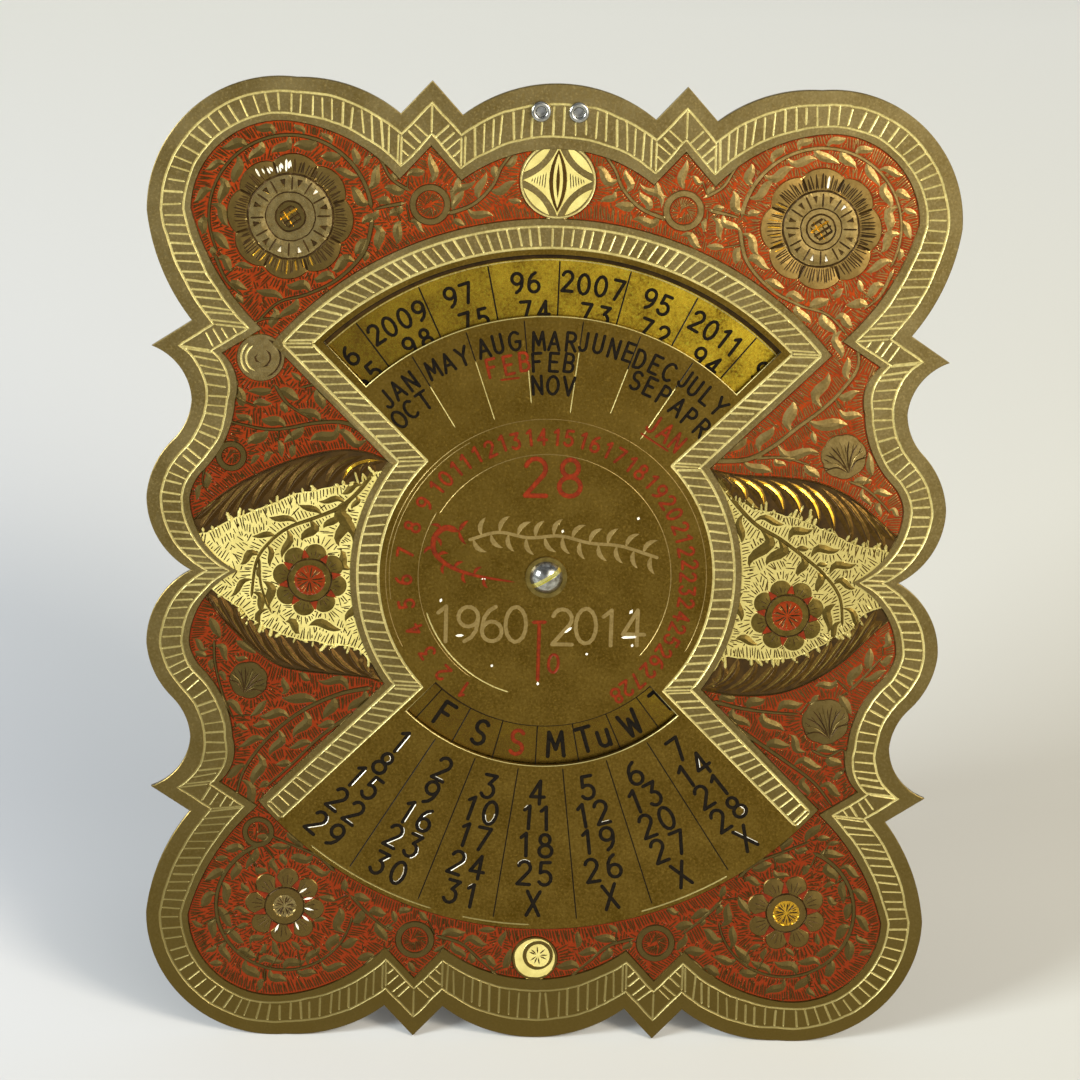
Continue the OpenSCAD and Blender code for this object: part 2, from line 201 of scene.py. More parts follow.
class PointGrid:
    """Finds the points inside a box quickly."""

    def __init__(self, points, cell=1.2):
        self.points, self.cell = points, cell
        self.low = points.min(0)
        ij = ((points - self.low) // cell).astype(int)
        self.width = ij[:, 0].max() + 1
        self.height = ij[:, 1].max() + 1
        key = ij[:, 1] * self.width + ij[:, 0]
        self.order = np.argsort(key, kind="stable")
        self.key = key[self.order]

    def box(self, low, high):
        """Indices of the points in the cells that a box touches."""
        i0, j0 = np.maximum(((low - self.low) // self.cell).astype(int), 0)
        i1, j1 = ((high - self.low) // self.cell).astype(int)
        i1, j1 = min(i1, self.width - 1), min(j1, self.height - 1)
        if i1 < i0 or j1 < j0:
            return np.empty(0, int)
        rows = np.arange(j0, j1 + 1) * self.width
        a = np.searchsorted(self.key, rows + i0)
        b = np.searchsorted(self.key, rows + i1, side="right")
        return np.concatenate([self.order[s:e] for s, e in zip(a, b)])


def segment_distance(points, a, b):
    """Distance of each point from the segment ab, and how far along ab its foot lies."""
    q, ab = points - a, b - a
    t = np.clip(q @ ab / max(ab @ ab, 1e-12), 0, 1)
    return np.linalg.norm(q - t[:, None] * ab, axis=1), t


def inset(loop, d):
    """A closed loop moved d to its inside."""
    n = left_of(unit(np.roll(loop, -1, 0) - loop))
    area = np.sum(loop[:, 0] * np.roll(loop[:, 1], -1) - np.roll(loop[:, 0], -1) * loop[:, 1])
    before = np.roll(n, 1, 0)
    mitre = (n + before) / np.maximum(1 + np.sum(n * before, axis=1), 0.25)[:, None]
    return loop + mitre * d * np.sign(area)


def nearest_on(loop, point):
    """Which side of a closed loop a point is nearest to, and the place on it."""
    best = (1e9, 0, None)
    for i, (a, b) in enumerate(zip(loop, np.roll(loop, -1, 0))):
        t = np.clip((point - a) @ (b - a) / max((b - a) @ (b - a), 1e-12), 0, 1)
        q = a + (b - a) * t
        best = min(best, (float(np.linalg.norm(point - q)), i, q), key=lambda v: v[0])
    return best[1], best[2]


def between(loop, start, end):
    """The part of a closed loop from near start forward to near end."""
    (i, a), (j, b) = nearest_on(loop, np.asarray(start)), nearest_on(loop, np.asarray(end))
    n = len(loop)
    middle = [loop[(i + 1 + k) % n] for k in range((j - i) % n)]
    points = [a] + middle + [b]
    return np.array([p for k, p in enumerate(points) if k == 0 or np.linalg.norm(p - points[k - 1]) > 0.02])


def by_hand(loop, amount=0.05):
    """A closed line with the small waver of handwork."""
    noise = rng.normal(0, 1, len(loop))
    noise = (noise + np.roll(noise, 1) + np.roll(noise, -1) + np.roll(noise, 2)) / 2
    return loop + normals(loop, True) * (noise * amount)[:, None]


# ---------------------------------------------------------------- parts of a relief
class Area:
    """A closed region of a sheet at its own level, with its own finish, and sloping walls."""

    def __init__(self, loop, level, label, wall=WALL, holes=()):
        self.loop, self.level, self.label, self.wall = np.asarray(loop, float), level, label, wall
        self.holes = [np.asarray(h, float) for h in holes]

    def lines(self):
        """The lines that the mesh needs, each with whether it is closed: both edges of the walls."""
        out = [(self.loop, True), (inset(self.loop, self.wall), True)]
        for h in self.holes:
            out += [(h, True), (inset(h, -self.wall), True)]
        return out

    def depth(self, grid, reach):
        """Indices of the points inside, and their distance from the edge, up to reach."""
        i = grid.box(self.loop.min(0), self.loop.max(0))
        for k, loop in enumerate([self.loop] + self.holes):
            i = i[inside(grid.points[i], loop) == (k == 0)]
        local = np.full(len(grid.points), reach)
        for loop in [self.loop] + self.holes:
            for a, b in zip(loop, np.roll(loop, -1, 0)):
                j = grid.box(np.minimum(a, b) - reach, np.maximum(a, b) + reach)
                if len(j):
                    local[j] = np.minimum(local[j], segment_distance(grid.points[j], a, b)[0])
        return i, local[i]

    def shape(self, grid, z, label):
        """Sinks or lifts the points inside to the area's level, and marks its floor."""
        i, s = self.depth(grid, max(self.wall * 1.01, 0.05))
        z[i] += (self.level - z[i]) * np.clip(s / self.wall, 0, 1)
        low = i[s > self.wall * 0.9]
        label[low] = self.label


class Stroke:
    """A line with a half width at each point: an engraved cut, or a raised vine or leaf."""

    def __init__(self, points, half, label, depth, slope, round_ends=False, closed=False):
        self.p = np.asarray(points, float)
        self.h = np.broadcast_to(np.asarray(half, float), (len(self.p),)).copy()
        self.label, self.depth, self.slope = label, depth, slope
        self.round_ends, self.closed = round_ends, closed

    def side_lines(self, h):
        """The closed lines round the stroke at half widths h."""
        n = normals(self.p, self.closed)
        left, right = self.p + n * h[:, None], self.p - n * h[:, None]
        if self.closed:
            return [(left, True), (right, True)]
        caps = []
        for k, sign in ((-1, 1), (0, -1)):
            t = np.array([n[k][1], -n[k][0]]) * sign
            caps.append([self.p[k] + (t * math.cos(a) + n[k] * sign * math.sin(a)) * h[k]
                         for a in (math.radians(45), 0.0, math.radians(-45))] if self.round_ends else [])
        return [(np.array(list(left) + caps[0] + list(right[::-1]) + caps[1]), True)]

    def lines(self):
        """The lines that the mesh needs: both edges, the middle, and the rim of a flat bottom or top."""
        out = self.side_lines(self.h) + [(self.p, self.closed)]
        inner = self.h - self.depth / self.slope
        keep = np.flatnonzero(inner > 0.02)
        if len(keep) > 1 and keep[-1] - keep[0] == len(keep) - 1:
            part = Stroke(self.p[keep], inner[keep], 0, 1, 1, self.round_ends, self.closed)
            out += part.side_lines(part.h)
        return out

    def reach_in(self, grid, margin=0.0):
        """Indices of the points within the stroke, and how deep inside its edge each lies."""
        p, h = self.p, self.h
        if self.closed:
            p, h = np.vstack([p, p[:1]]), np.r_[h, h[:1]]
        found, depth = [], []
        for a, b, ha, hb in zip(p[:-1], p[1:], h[:-1], h[1:]):
            top = max(ha, hb) + margin + EDGE_SLACK
            i = grid.box(np.minimum(a, b) - top, np.maximum(a, b) + top)
            if not len(i):
                continue
            d, t = segment_distance(grid.points[i], a, b)
            e = ha + (hb - ha) * t - d
            keep = e > -margin - EDGE_SLACK
            found.append(i[keep])
            depth.append(e[keep])
        if not found:
            return np.empty(0, int), np.empty(0)
        return np.concatenate(found), np.concatenate(depth)


class Patch:
    """A round ornament: rim(angle) is its edge; height(r, angle) and label(r, angle) its face."""

    def __init__(self, centre, rim, height, label, circles=(), step=0.7):
        self.centre, self.rim, self.height, self.label = np.array(centre, float), rim, height, label
        self.circles, self.step = circles, step

    def loop(self, move=0.0):
        """The edge, moved inwards."""
        turn = np.linspace(0, 2 * math.pi, int(40 / self.step), endpoint=False)
        r = self.rim(turn) - move
        return self.centre + np.stack([r * np.sin(turn), r * np.cos(turn)], 1)

    def lines(self):
        """The lines that the mesh needs: both edges of the wall, and the circles on the face."""
        out = [(self.loop(), True), (self.loop(WALL), True)]
        return out + [(circle(r, self.centre, self.step), True) for r in self.circles]

    def reach_in(self, grid, margin=0.0):
        """Indices of the points within the rim, their radius and angle, and how deep inside each lies."""
        i = grid.box(self.centre - LARGEST_PATCH, self.centre + LARGEST_PATCH)
        d = grid.points[i] - self.centre
        r, a = np.hypot(d[:, 0], d[:, 1]), np.arctan2(d[:, 0], d[:, 1])
        e = self.rim(a) - r
        on = e > -margin - EDGE_SLACK
        return i[on], r[on], a[on], e[on]


class Sheet:
    """A flat sheet with carved and engraved work, meshed so that each feature has its own edges.

    Areas come first, then what is raised on their floors, then inlays, then cuts."""

    def __init__(self, name, edge, holes, thickness, z, bevel=0.12):
        self.name, self.edge, self.holes = name, edge, holes
        self.thickness, self.z, self.bevel = thickness, z, bevel
        self.areas, self.ridges, self.patches, self.inlays, self.cuts = [], [], [], [], []
        # the finish of the bevels round the holes: worn bright, unless a sheet paints highlight and shade
        # there
        self.worn_edge = lambda points: BRIGHT

    def cut(self, points, width, label=BRIGHT, depth=0.1, slope=0.8, tip=0.35):
        """An engraved line that runs out to a point at both ends."""
        p, w = tapered(points, width, tip)
        self.cuts.append(Stroke(p, w / 2, label, depth, slope))

    def groove(self, points, width, label, depth=0.1):
        """An engraved line that closes on itself."""
        self.cuts.append(Stroke(points, width / 2, label, depth, 0.8, closed=True))

    def punch(self, points, width, label, depth=0.09):
        """A round-ended stroke of a figure."""
        self.cuts.append(Stroke(points, width / 2, label, depth, 1.5, round_ends=True))

    def ridge(self, points, width, height, slope, label, closed=False, tip=0.5):
        """A raised line or a leaf; width may be one number or one for each point."""
        if closed:
            self.ridges.append(Stroke(points, width / 2, label, height, slope, closed=True))
        elif np.ndim(width):
            self.ridges.append(Stroke(points, np.asarray(width) / 2, label, height, slope))
        else:
            p, w = tapered(points, width, tip)
            self.ridges.append(Stroke(p, w / 2, label, height, slope))

    def shape(self, points):
        """Height and label at each point of the face."""
        grid = PointGrid(points)
        z = np.zeros(len(points))
        label = np.full(len(points), BRASS)

        def reach(strokes):
            """How far strokes raise or cut each point; marks what they cover."""
            most = np.zeros(len(points))
            for stroke in strokes:
                i, e = stroke.reach_in(grid)
                d = np.minimum(stroke.depth, np.maximum(e, 0) * stroke.slope)
                label[i[(d > most[i]) & (e > 0)]] = stroke.label
                np.maximum.at(most, i, d)
            return most

        for area in self.areas:
            area.shape(grid, z, label)
        rise = reach(self.ridges)
        z = np.where(rise > 0, np.minimum(z + rise, 0.02), z)
        for p in self.patches:
            i, r, a, e = p.reach_in(grid)
            z[i] += (p.height(r, a) - z[i]) * np.clip(e / WALL, 0, 1)
            label[i] = p.label(r, a)
        for area in self.inlays:
            area.shape(grid, z, label)
        return z - reach(self.cuts), label

    def free(self, points, area, margin):
        """Which points lie on the floor of an area, clear of what is raised there."""
        grid = PointGrid(points)
        out = np.zeros(len(points), bool)
        i, s = area.depth(grid, 1.0)
        out[i[s > margin]] = True
        for r in self.ridges:
            out[r.reach_in(grid, margin * 0.5)[0]] = False
        for p in self.patches:
            out[p.reach_in(grid, margin * 0.5)[0]] = False
        return out

    def build(self, materials, plain=BRASS):
        """Meshes the sheet as one closed solid and returns the object."""
        loops = [(self.edge, 1)] + [(h, -1) for h in self.holes]
        lines = [(loop, True) for loop, _ in loops]
        lines += [(inset(loop, self.bevel * side), True) for loop, side in loops]
        for part in self.areas + self.ridges + self.patches + self.inlays + self.cuts:
            lines += part.lines()
        verts, tris = triangulate(lines)
        mid = verts[tris].mean(1)
        keep = inside(mid, self.edge)
        for hole in self.holes:
            keep &= ~inside(mid, hole)
        a, b, c = (verts[tris[:, k]] for k in range(3))
        area = (b[:, 0] - a[:, 0]) * (c[:, 1] - a[:, 1]) - (b[:, 1] - a[:, 1]) * (c[:, 0] - a[:, 0])
        tris[area < 0] = tris[area < 0][:, ::-1]
        tris, mid = tris[keep], mid[keep]
        used, tris = np.unique(tris, return_inverse=True)
        tris = tris.reshape(-1, 3)
        verts = verts[used]
        z = self.shape(verts)[0]
        label = self.shape(mid)[1]
        rim, edges = boundary(verts, tris)
        z[rim] = -self.bevel * 0.7
        slope = np.isin(tris, rim).any(1)
        for hole in self.holes:
            near = np.flatnonzero(slope & inside(mid, inset(hole, -self.bevel * 1.1)))
            label[near] = self.worn_edge(mid[near])
        return solid(self.name, verts, z, tris, label, rim, edges, self.thickness, self.z, materials, plain)


def tapered(points, width, tip):
    """A line with a width at each point, which falls to nothing over the last tip at each end."""
    p = np.asarray(points, float)
    d = lengths_to(p)
    tip = min(tip, d[-1] * 0.4)
    at = np.unique(np.r_[d[(d > tip) & (d < d[-1] - tip)], 0, tip, d[-1] - tip, d[-1]])
    q = at_lengths(p, d, at)
    w = np.interp(at, d, np.broadcast_to(np.asarray(width, float), (len(p),)))
    w[0] = w[-1] = 0.0
    return q, w


def triangulate(lines):
    """Delaunay triangles that keep every line, as points and triangles."""
    coords, edges = [], []
    for points, closed in lines:
        k, n = len(coords), len(points)
        coords += [Vector(p) for p in points]
        edges += [(k + i, k + i + 1) for i in range(n - 1)]
        if closed:
            edges.append((k + n - 1, k))
    v, _, f, _, _, _ = delaunay_2d_cdt(coords, edges, [], 0, 1e-5, False)
    return np.array([tuple(p) for p in v]), np.array(f, int)


def boundary(verts, tris):
    """Rim vertices and the directed rim edges of a triangulated face."""
    e = np.vstack([tris[:, [0, 1]], tris[:, [1, 2]], tris[:, [2, 0]]])
    key = np.sort(e, 1)
    code = key[:, 0] * (len(verts) + 1) + key[:, 1]
    _, first, count = np.unique(code, return_index=True, return_counts=True)
    edges = e[first[count == 1]]
    return np.unique(edges), edges


def solid(name, verts, z, tris, label, rim, edges, thickness, offset, materials, plain):
    """Closes a carved face with walls and a flat back of the finish plain."""
    n = len(verts)
    low = {v: n + k for k, v in enumerate(rim)}
    co = np.vstack([np.c_[verts, z + offset], np.c_[verts[rim], np.full(len(rim), offset - thickness)]])
    walls = [(b, a, low[a], low[b]) for a, b in edges]
    back = back_faces(verts[rim], [(low[a] - n, low[b] - n) for a, b in edges])
    faces = [tuple(t) for t in tris] + walls + [tuple(n + i for i in f[::-1]) for f in back]
    marks = np.r_[label, np.full(len(walls) + len(back), plain)]
    return new_mesh(name, co, faces, marks, materials)


def back_faces(points, edges):
    """Triangles between the closed loops given by edges, counter-clockwise."""
    v, _, f, ids, _, _ = delaunay_2d_cdt([Vector(p) for p in points], edges, [], 0, 1e-7, True)
    place = {i: o[0] for i, o in enumerate(ids) if o}
    mid = np.array([(v[t[0]] + v[t[1]] + v[t[2]]) / 3 for t in f])
    odd = np.zeros(len(mid), bool)
    for p, q in zip(points[[e[0] for e in edges]], points[[e[1] for e in edges]]):
        if p[1] == q[1]:
            continue
        hit = (mid[:, 1] > p[1]) != (mid[:, 1] > q[1])
        odd ^= hit & (mid[:, 0] < p[0] + (mid[:, 1] - p[1]) * (q[0] - p[0]) / (q[1] - p[1]))
    out = []
    for t, within in zip(f, odd):
        if not within:
            continue
        i = [place[k] for k in t]
        x, y, w = points[i]
        if (y[0] - x[0]) * (w[1] - x[1]) - (y[1] - x[1]) * (w[0] - x[0]) < 0:
            i = i[::-1]
        out.append(i)
    return out


def added(name, data):
    """A new object in the scene."""
    ob = bpy.data.objects.new(name, data)
    bpy.context.scene.collection.objects.link(ob)
    return ob


def new_mesh(name, co, faces, marks, materials):
    """An object in the model's frame from points in the plate's own frame, in mm."""
    me = bpy.data.meshes.new(name)
    me.from_pydata([tuple(p) for p in np.asarray(co) * MM], [], faces)
    me.transform(PLATE)
    used = sorted(set(int(m) for m in marks))
    for m in used:
        me.materials.append(materials[m])
    slot = {m: i for i, m in enumerate(used)}
    me.polygons.foreach_set("material_index", [slot[int(m)] for m in marks])
    me.update()
    return added(name, me)


# ---------------------------------------------------------------- the plate's outline
STRAIGHT = 0.001


def plate_corners():
    """The outline's corners and the bulges of the arcs between them, clockwise."""
    x0, half, rise = SPIKE
    quarter = [
        (x0, HALF_H - rise),
        (x0 + half, HALF_H),
        (x0 + 2 * half, HALF_H - rise),
        (HALF_W - CORNER[0], HALF_H),
        (HALF_W, HALF_H - CORNER[1]),
        (HALF_W - NOTCH, BARB[0] + BARB[1]),
        (HALF_W - NOTCH / 9, BARB[0]),
        (HALF_W - NOTCH, BARB[0] - BARB[2]),
        (HALF_W - NOTCH * 0.6, SIDE_LOBE[0] + SIDE_LOBE[1]),
        (HALF_W, SIDE_LOBE[0]),
        (HALF_W - NOTCH, 0.0),
    ]
    bulges = [STRAIGHT, STRAIGHT, 0.09, 0.225, 0.07, STRAIGHT, -0.15, -0.09, 0.09, 0.14]
    q = np.array(quarter)
    corners = np.vstack([q, (q * [1, -1])[::-1][1:], q * [-1, -1], (q * [-1, 1])[::-1][1:]])
    side = bulges + bulges[::-1] + [rise / (2 * x0)]
    return corners, np.array(side + side)


CORNERS, BULGES = plate_corners()


def arc_of(p, q, b):
    """Signed radius and centre of the arc from p to q with bulge b."""
    c = np.linalg.norm(q - p)
    r = c * (0.25 + b * b) / (2 * b)
    u = (q - p) / c
    return r, (p + q) / 2 + left_of(u) * (b * c - r)


def crossing(c1, r1, c2, r2, old):
    """Where two circles cross, on the side nearer to the point old."""
    d = np.linalg.norm(c2 - c1)
    a = (r1 * r1 - r2 * r2 + d * d) / (2 * d)
    h = math.sqrt(max(0.0, r1 * r1 - a * a))
    u = (c2 - c1) / d
    v = left_of(u)
    ends = (c1 + u * a + v * h, c1 + u * a - v * h)
    return min(ends, key=lambda e: np.linalg.norm(e - old))


def moved_corners(by):
    """The outline's corners once every side has moved inwards; a cusp between two lobes stays sharp."""
    n = len(CORNERS)
    arcs = [arc_of(CORNERS[i], CORNERS[(i + 1) % n], BULGES[i]) for i in range(n)]
    out = [crossing(arcs[i - 1][1], arcs[i - 1][0] - by, arcs[i][1], arcs[i][0] - by, CORNERS[i])
           for i in range(n)]
    for i in np.flatnonzero(np.abs(CORNERS[:, 1]) < 1e-6):
        out[i] = CORNERS[i] * (1 - 1.1 * by / abs(CORNERS[i][0]))
    return out


def side_points(p, q, bulge, t):
    """Points at the fractions t of the arc from p to q."""
    if abs(bulge) <= STRAIGHT:
        return p + (q - p) * np.asarray(t)[:, None]
    r, c = arc_of(p, q, bulge)
    start, end = math.atan2(*(p - c)[::-1]), math.atan2(*(q - c)[::-1])
    turn = (end - start + 3 * math.pi) % (2 * math.pi) - math.pi
    a = start + turn * np.asarray(t)
    return c + abs(r) * np.stack([np.cos(a), np.sin(a)], 1)


def outline(by, step):
    """The plate's outline moved inwards, clockwise."""
    corners = moved_corners(by)
    out = []
    for p, q, bulge in zip(corners, corners[1:] + corners[:1], BULGES):
        n = max(1, int(math.ceil(np.linalg.norm(q - p) / step)))
        out.append(side_points(p, q, bulge, np.arange(n) / n))
    return np.vstack(out)


def on_leg(r, off, sx, sy):
    """Where a leg's line, off from the diagonal, meets radius r."""
    d = math.sqrt(r * r - off * off)
    return np.array([sx * (d + off), sy * (d - off)]) / math.sqrt(2)


def hourglass(waist, off, top, low):
    """The closed outline of the calendar's panel, clockwise from its upper left corner."""
    a, b, c = (bearing(on_leg(r, off, 1, side)) for r, side in ((top, 1), (waist, 1), (low, -1)))
    return np.vstack([
        arc(top, -a, a), arc(waist, b, 180 - b), arc(low, c, 360 - c), arc(waist, 180 + b, 360 - b)])


# ---------------------------------------------------------------- single-line figures
def bend(cx, cy, rx, ry, start, end):
    """Points on part of an ellipse, angles anticlockwise from the right."""
    n = max(3, int(abs(end - start) / 24) + 1)
    return [(cx + rx * math.cos(math.radians(a)), cy + ry * math.sin(math.radians(a)))
            for a in np.linspace(start, end, n)]


GLYPHS = {
    "0": [bend(.3, .5, .26, .48, 90, 440)],
    "1": [[(.14, .8), (.34, .98), (.34, .02)]],
    "2": [bend(.3, .72, .24, .26, 165, -35) + [(.06, .02), (.56, .02)]],
    "3": [[(.08, .97), (.52, .97), (.28, .6)] + bend(.27, .31, .25, .29, 75, -150)],
    "4": [[(.4, .02), (.4, .98), (.04, .32), (.58, .32)]],
    "5": [[(.5, .97), (.14, .97), (.1, .54)] + bend(.27, .31, .26, .29, 120, -150)],
    "6": [bend(.5, .42, .44, .56, 105, 180) + bend(.3, .29, .25, .27, 180, 530)],
    "7": [[(.06, .97), (.54, .97), (.22, .02)]],
    "8": [bend(.3, .75, .2, .22, -90, 260), bend(.3, .27, .26, .25, 90, 440)],
    "9": [bend(.1, .58, .44, .56, -75, 0) + bend(.3, .71, .25, .27, 0, 350)],
    "A": [[(.02, .02), (.3, .98), (.58, .02)], [(.13, .36), (.47, .36)]],
    "B": [[(.08, .02), (.08, .98), (.3, .98)] + bend(.3, .75, .2, .23, 60, -90) + [(.08, .52)],
          [(.3, .52)] + bend(.32, .27, .22, .25, 60, -90) + [(.08, .02)]],
    "C": [bend(.34, .5, .3, .48, 50, 310)],
    "D": [[(.08, .02), (.08, .98), (.25, .98)] + bend(.25, .5, .3, .48, 65, -65) + [(.25, .02), (.08, .02)]],
    "E": [[(.52, .98), (.08, .98), (.08, .02), (.52, .02)], [(.08, .52), (.44, .52)]],
    "F": [[(.52, .98), (.08, .98), (.08, .02)], [(.08, .54), (.42, .54)]],
    "G": [bend(.34, .5, .3, .48, 50, 320) + [(.6, .46), (.38, .46)]],
    "J": [[(.44, .98)] + bend(.26, .26, .18, .24, 0, -160)],
    "L": [[(.1, .98), (.1, .02), (.5, .02)]],
    "M": [[(.03, .02), (.1, .98), (.34, .3), (.58, .98), (.65, .02)]],
    "N": [[(.08, .02), (.08, .98), (.54, .02), (.54, .98)]],
    "O": [bend(.32, .5, .29, .48, 90, 440)],
    "P": [[(.08, .02), (.08, .98), (.3, .98)] + bend(.3, .74, .22, .24, 60, -90) + [(.08, .5)]],
    "R": [[(.08, .02), (.08, .98), (.3, .98)] + bend(.3, .74, .22, .24, 60, -90) + [(.08, .5)],
          [(.28, .5), (.56, .02)]],
    "S": [bend(.3, .74, .22, .24, 35, 265) + bend(.3, .26, .24, .24, 70, -145)],
    "T": [[(.02, .98), (.58, .98)], [(.3, .98), (.3, .02)]],
    "U": [[(.08, .98)] + bend(.3, .28, .22, .26, 180, 360) + [(.52, .98)]],
    "V": [[(.02, .98), (.3, .02), (.58, .98)]],
    "W": [[(.02, .98), (.17, .02), (.34, .7), (.51, .02), (.66, .98)]],
    "X": [[(.06, .02), (.54, .98)], [(.06, .98), (.54, .02)]],
    "Y": [[(.02, .98), (.3, .5), (.58, .98)], [(.3, .5), (.3, .02)]],
    "u": [[(.08, .64)] + bend(.27, .22, .19, .2, 180, 350) + [(.46, .64), (.46, .02)]],
}
ADVANCE = {"M": 0.86, "W": 0.88, "1": 0.7, "J": 0.66}


def split_line(p):
    """Parts of a line between its sharp corners."""
    d = unit(np.diff(p, axis=0))
    turns = np.sum(d[:-1] * d[1:], axis=1) < 0.6
    cuts = [0] + [k + 1 for k in np.flatnonzero(turns)] + [len(p) - 1]
    return [p[a:b + 1] for a, b in zip(cuts, cuts[1:])]


def figures(sheet, text, r, deg, height, label, width, towards, spacing, wobble=1.0, glinting_chips=0.0):
    """Punches text at radius r, centred on deg, its tops away from the axis (1) or towards it (-1).

    wobble is how unevenly it stands; the last argument is the share of its strokes whose paint is chipped on
    one side, shown as a painted white highlight there."""
    steps = [ADVANCE.get(c, spacing) for c in text]
    at = np.cumsum([0] + steps[:-1]) + np.array(steps) / 2 - sum(steps) / 2
    for c, s in zip(text, at):
        a = deg + towards * math.degrees(s * height / r)
        turn = math.radians(a + (0 if towards > 0 else 180) + wobble * rng.normal(0, 1.2))
        centre = polar(r, a) + rng.normal(0, 0.07, 2) * wobble
        wide = 0.68 if c in "MW" else 0.6
        right = np.array([math.cos(turn), -math.sin(turn)])
        up = np.array([math.sin(turn), math.cos(turn)])
        for line in GLYPHS[c]:
            p = np.array(line)
            q = centre + height * ((p[:, :1] - wide / 2) * right + (p[:, 1:] - 0.5) * up)
            for part in split_line(q):
                sheet.punch(part, width, label)
                if glinting_chips and rng.random() < glinting_chips:
                    first = rng.integers(0, max(1, len(part) // 2))
                    worn = part[first:first + max(2, len(part) // 2 + 1)]
                    if len(worn) > 1 and np.linalg.norm(worn[-1] - worn[0]) > 0.3:
                        # a painted white highlight beside a stroke whose paint is chipped
                        sheet.cut(worn + normals(worn) * width * 0.42, 0.24, GLINT, 0.05, tip=0.3)


# ---------------------------------------------------------------- materials
def linear(r, g, b):
    """Linear colour from display values 0-255."""
    def channel(v):
        v /= 255
        return v / 12.92 if v <= 0.04045 else ((v + 0.055) / 1.055) ** 2.4
    return (channel(r), channel(g), channel(b), 1.0)


class Graph:
    """Builds shader nodes. Where a value goes in, it is either a socket to link or a constant."""

    def __init__(self, owner):
        owner.use_nodes = True
        self.nodes, self.links = owner.node_tree.nodes, owner.node_tree.links

    def put(self, value, socket):
        if isinstance(value, bpy.types.NodeSocket):
            self.links.new(value, socket)
        else:
            socket.default_value = value

    def node(self, kind, inputs, result, **settings):
        """The named output of a new node with these settings and inputs."""
        node = self.nodes.new("ShaderNode" + kind)
        for key, value in settings.items():
            setattr(node, key, value)
        for key, value in inputs.items():
            self.put(value, node.inputs[key])
        return node.outputs[result]

    def place(self, kind="Object"):
        return self.node("TexCoord", {}, kind)

    def axis(self, vector, letter):
        return self.node("SeparateXYZ", {"Vector": vector}, letter)

    def noise(self, at, scale, detail, stretch=None):
        """Noise, or streaks where stretch gives the scale along them and their turn in degrees."""
        if stretch:
            at = self.node("Mapping", {"Vector": at, "Rotation": (0.0, math.radians(stretch[1]), 0.0),
                                       "Scale": (1.0, 1.0, stretch[0])}, "Vector")
        return self.node("TexNoise", {"Vector": at, "Scale": scale, "Detail": detail}, "Fac")

    def remap(self, value, low, high, a=0.0, b=1.0, **settings):
        ends = {"From Min": low, "From Max": high, "To Min": a, "To Max": b}
        return self.node("MapRange", {"Value": value, **ends}, "Result", **settings)

    def maths(self, operation, *values):
        return self.node("Math", dict(enumerate(values)), "Value", operation=operation)

    def dot(self, vector, way):
        return self.node("VectorMath", {0: vector, 1: way}, "Value", operation="DOT_PRODUCT")

    def mix(self, factor, a, b, how="MIX"):
        return self.node("Mix", {"Factor": factor, "A": a, "B": b}, "Result",
                         data_type="RGBA", blend_type=how)


GRAIN_MM = 0.45                     # the fine grain of every finish
ROUGHNESS_SPREAD = 0.07             # how far the roughness strays with the grain
WORN_LIGHTER = 1.9                  # how much lighter than the finish its worn specks are
PAINTED_SHADE_SHARE = 0.9                    # how much of the painted shade's tone shows where it is darkest
SCRATCHES = ((900.0, (0.03, 24.0)), (1300.0, (0.05, -51.0)))    # scale, then stretch and turn
SCRATCH_DEPTH = 0.00004


def surface(name, colour, other, metallic, roughness, mottle, contrast=0.5, scratch=0.25, specular=0.5,
            wear=0.0, painted_shade=None):
    """A procedural finish: two tones in soft blotches and fine grain, scratches, and uneven roughness.

    mottle is the size of the blotches in mm; wear is how strongly the worn specks show. The last argument
    is painted shade, which darkens the finish along a direction: the tone, the direction, and where in mm
    it is darkest and ends."""
    mat = bpy.data.materials.new(name)
    graph = Graph(mat)
    shader = graph.nodes["Principled BSDF"].inputs
    shader["Metallic"].default_value = metallic
    shader["Specular IOR Level"].default_value = specular
    at = graph.place()
    blotch = graph.noise(at, 1 / (mottle * MM), 5.0)
    grain = graph.noise(at, 1 / (GRAIN_MM * MM), 2.0)
    spread = 0.5 - 0.35 * contrast
    share = graph.maths("ADD", graph.remap(blotch, spread, 1 - spread, -0.1, 0.8),
                        graph.remap(grain, 0.3, 0.7, -0.15 * contrast, 0.5 * contrast))
    colours = graph.mix(share, colour, other)
    if wear:
        light = tuple(min(1.0, c * WORN_LIGHTER) for c in colour[:3]) + (1.0,)
        specks = graph.remap(graph.noise(at, 2600.0, 3.0), 0.54, 0.72, 0.0, wear)
        colours = graph.mix(specks, colours, light)
    if painted_shade:
        tone_there, way, darkest, end = painted_shade
        share = graph.remap(graph.dot(at, way), darkest * MM, end * MM, PAINTED_SHADE_SHARE, 0.0)
        colours = graph.mix(share, colours, tone_there)
    graph.put(colours, shader["Base Color"])
    smoothest = max(roughness - ROUGHNESS_SPREAD, 0.05)
    graph.put(graph.remap(grain, 0.3, 0.7, smoothest, roughness + ROUGHNESS_SPREAD), shader["Roughness"])
    if scratch:
        streaks = graph.maths("ADD", *(graph.noise(at, scale, 2.0, way) for scale, way in SCRATCHES))
        bump = {"Strength": scratch, "Distance": SCRATCH_DEPTH, "Height": streaks}
        graph.put(graph.node("Bump", bump, "Normal"), shader["Normal"])
    return mat
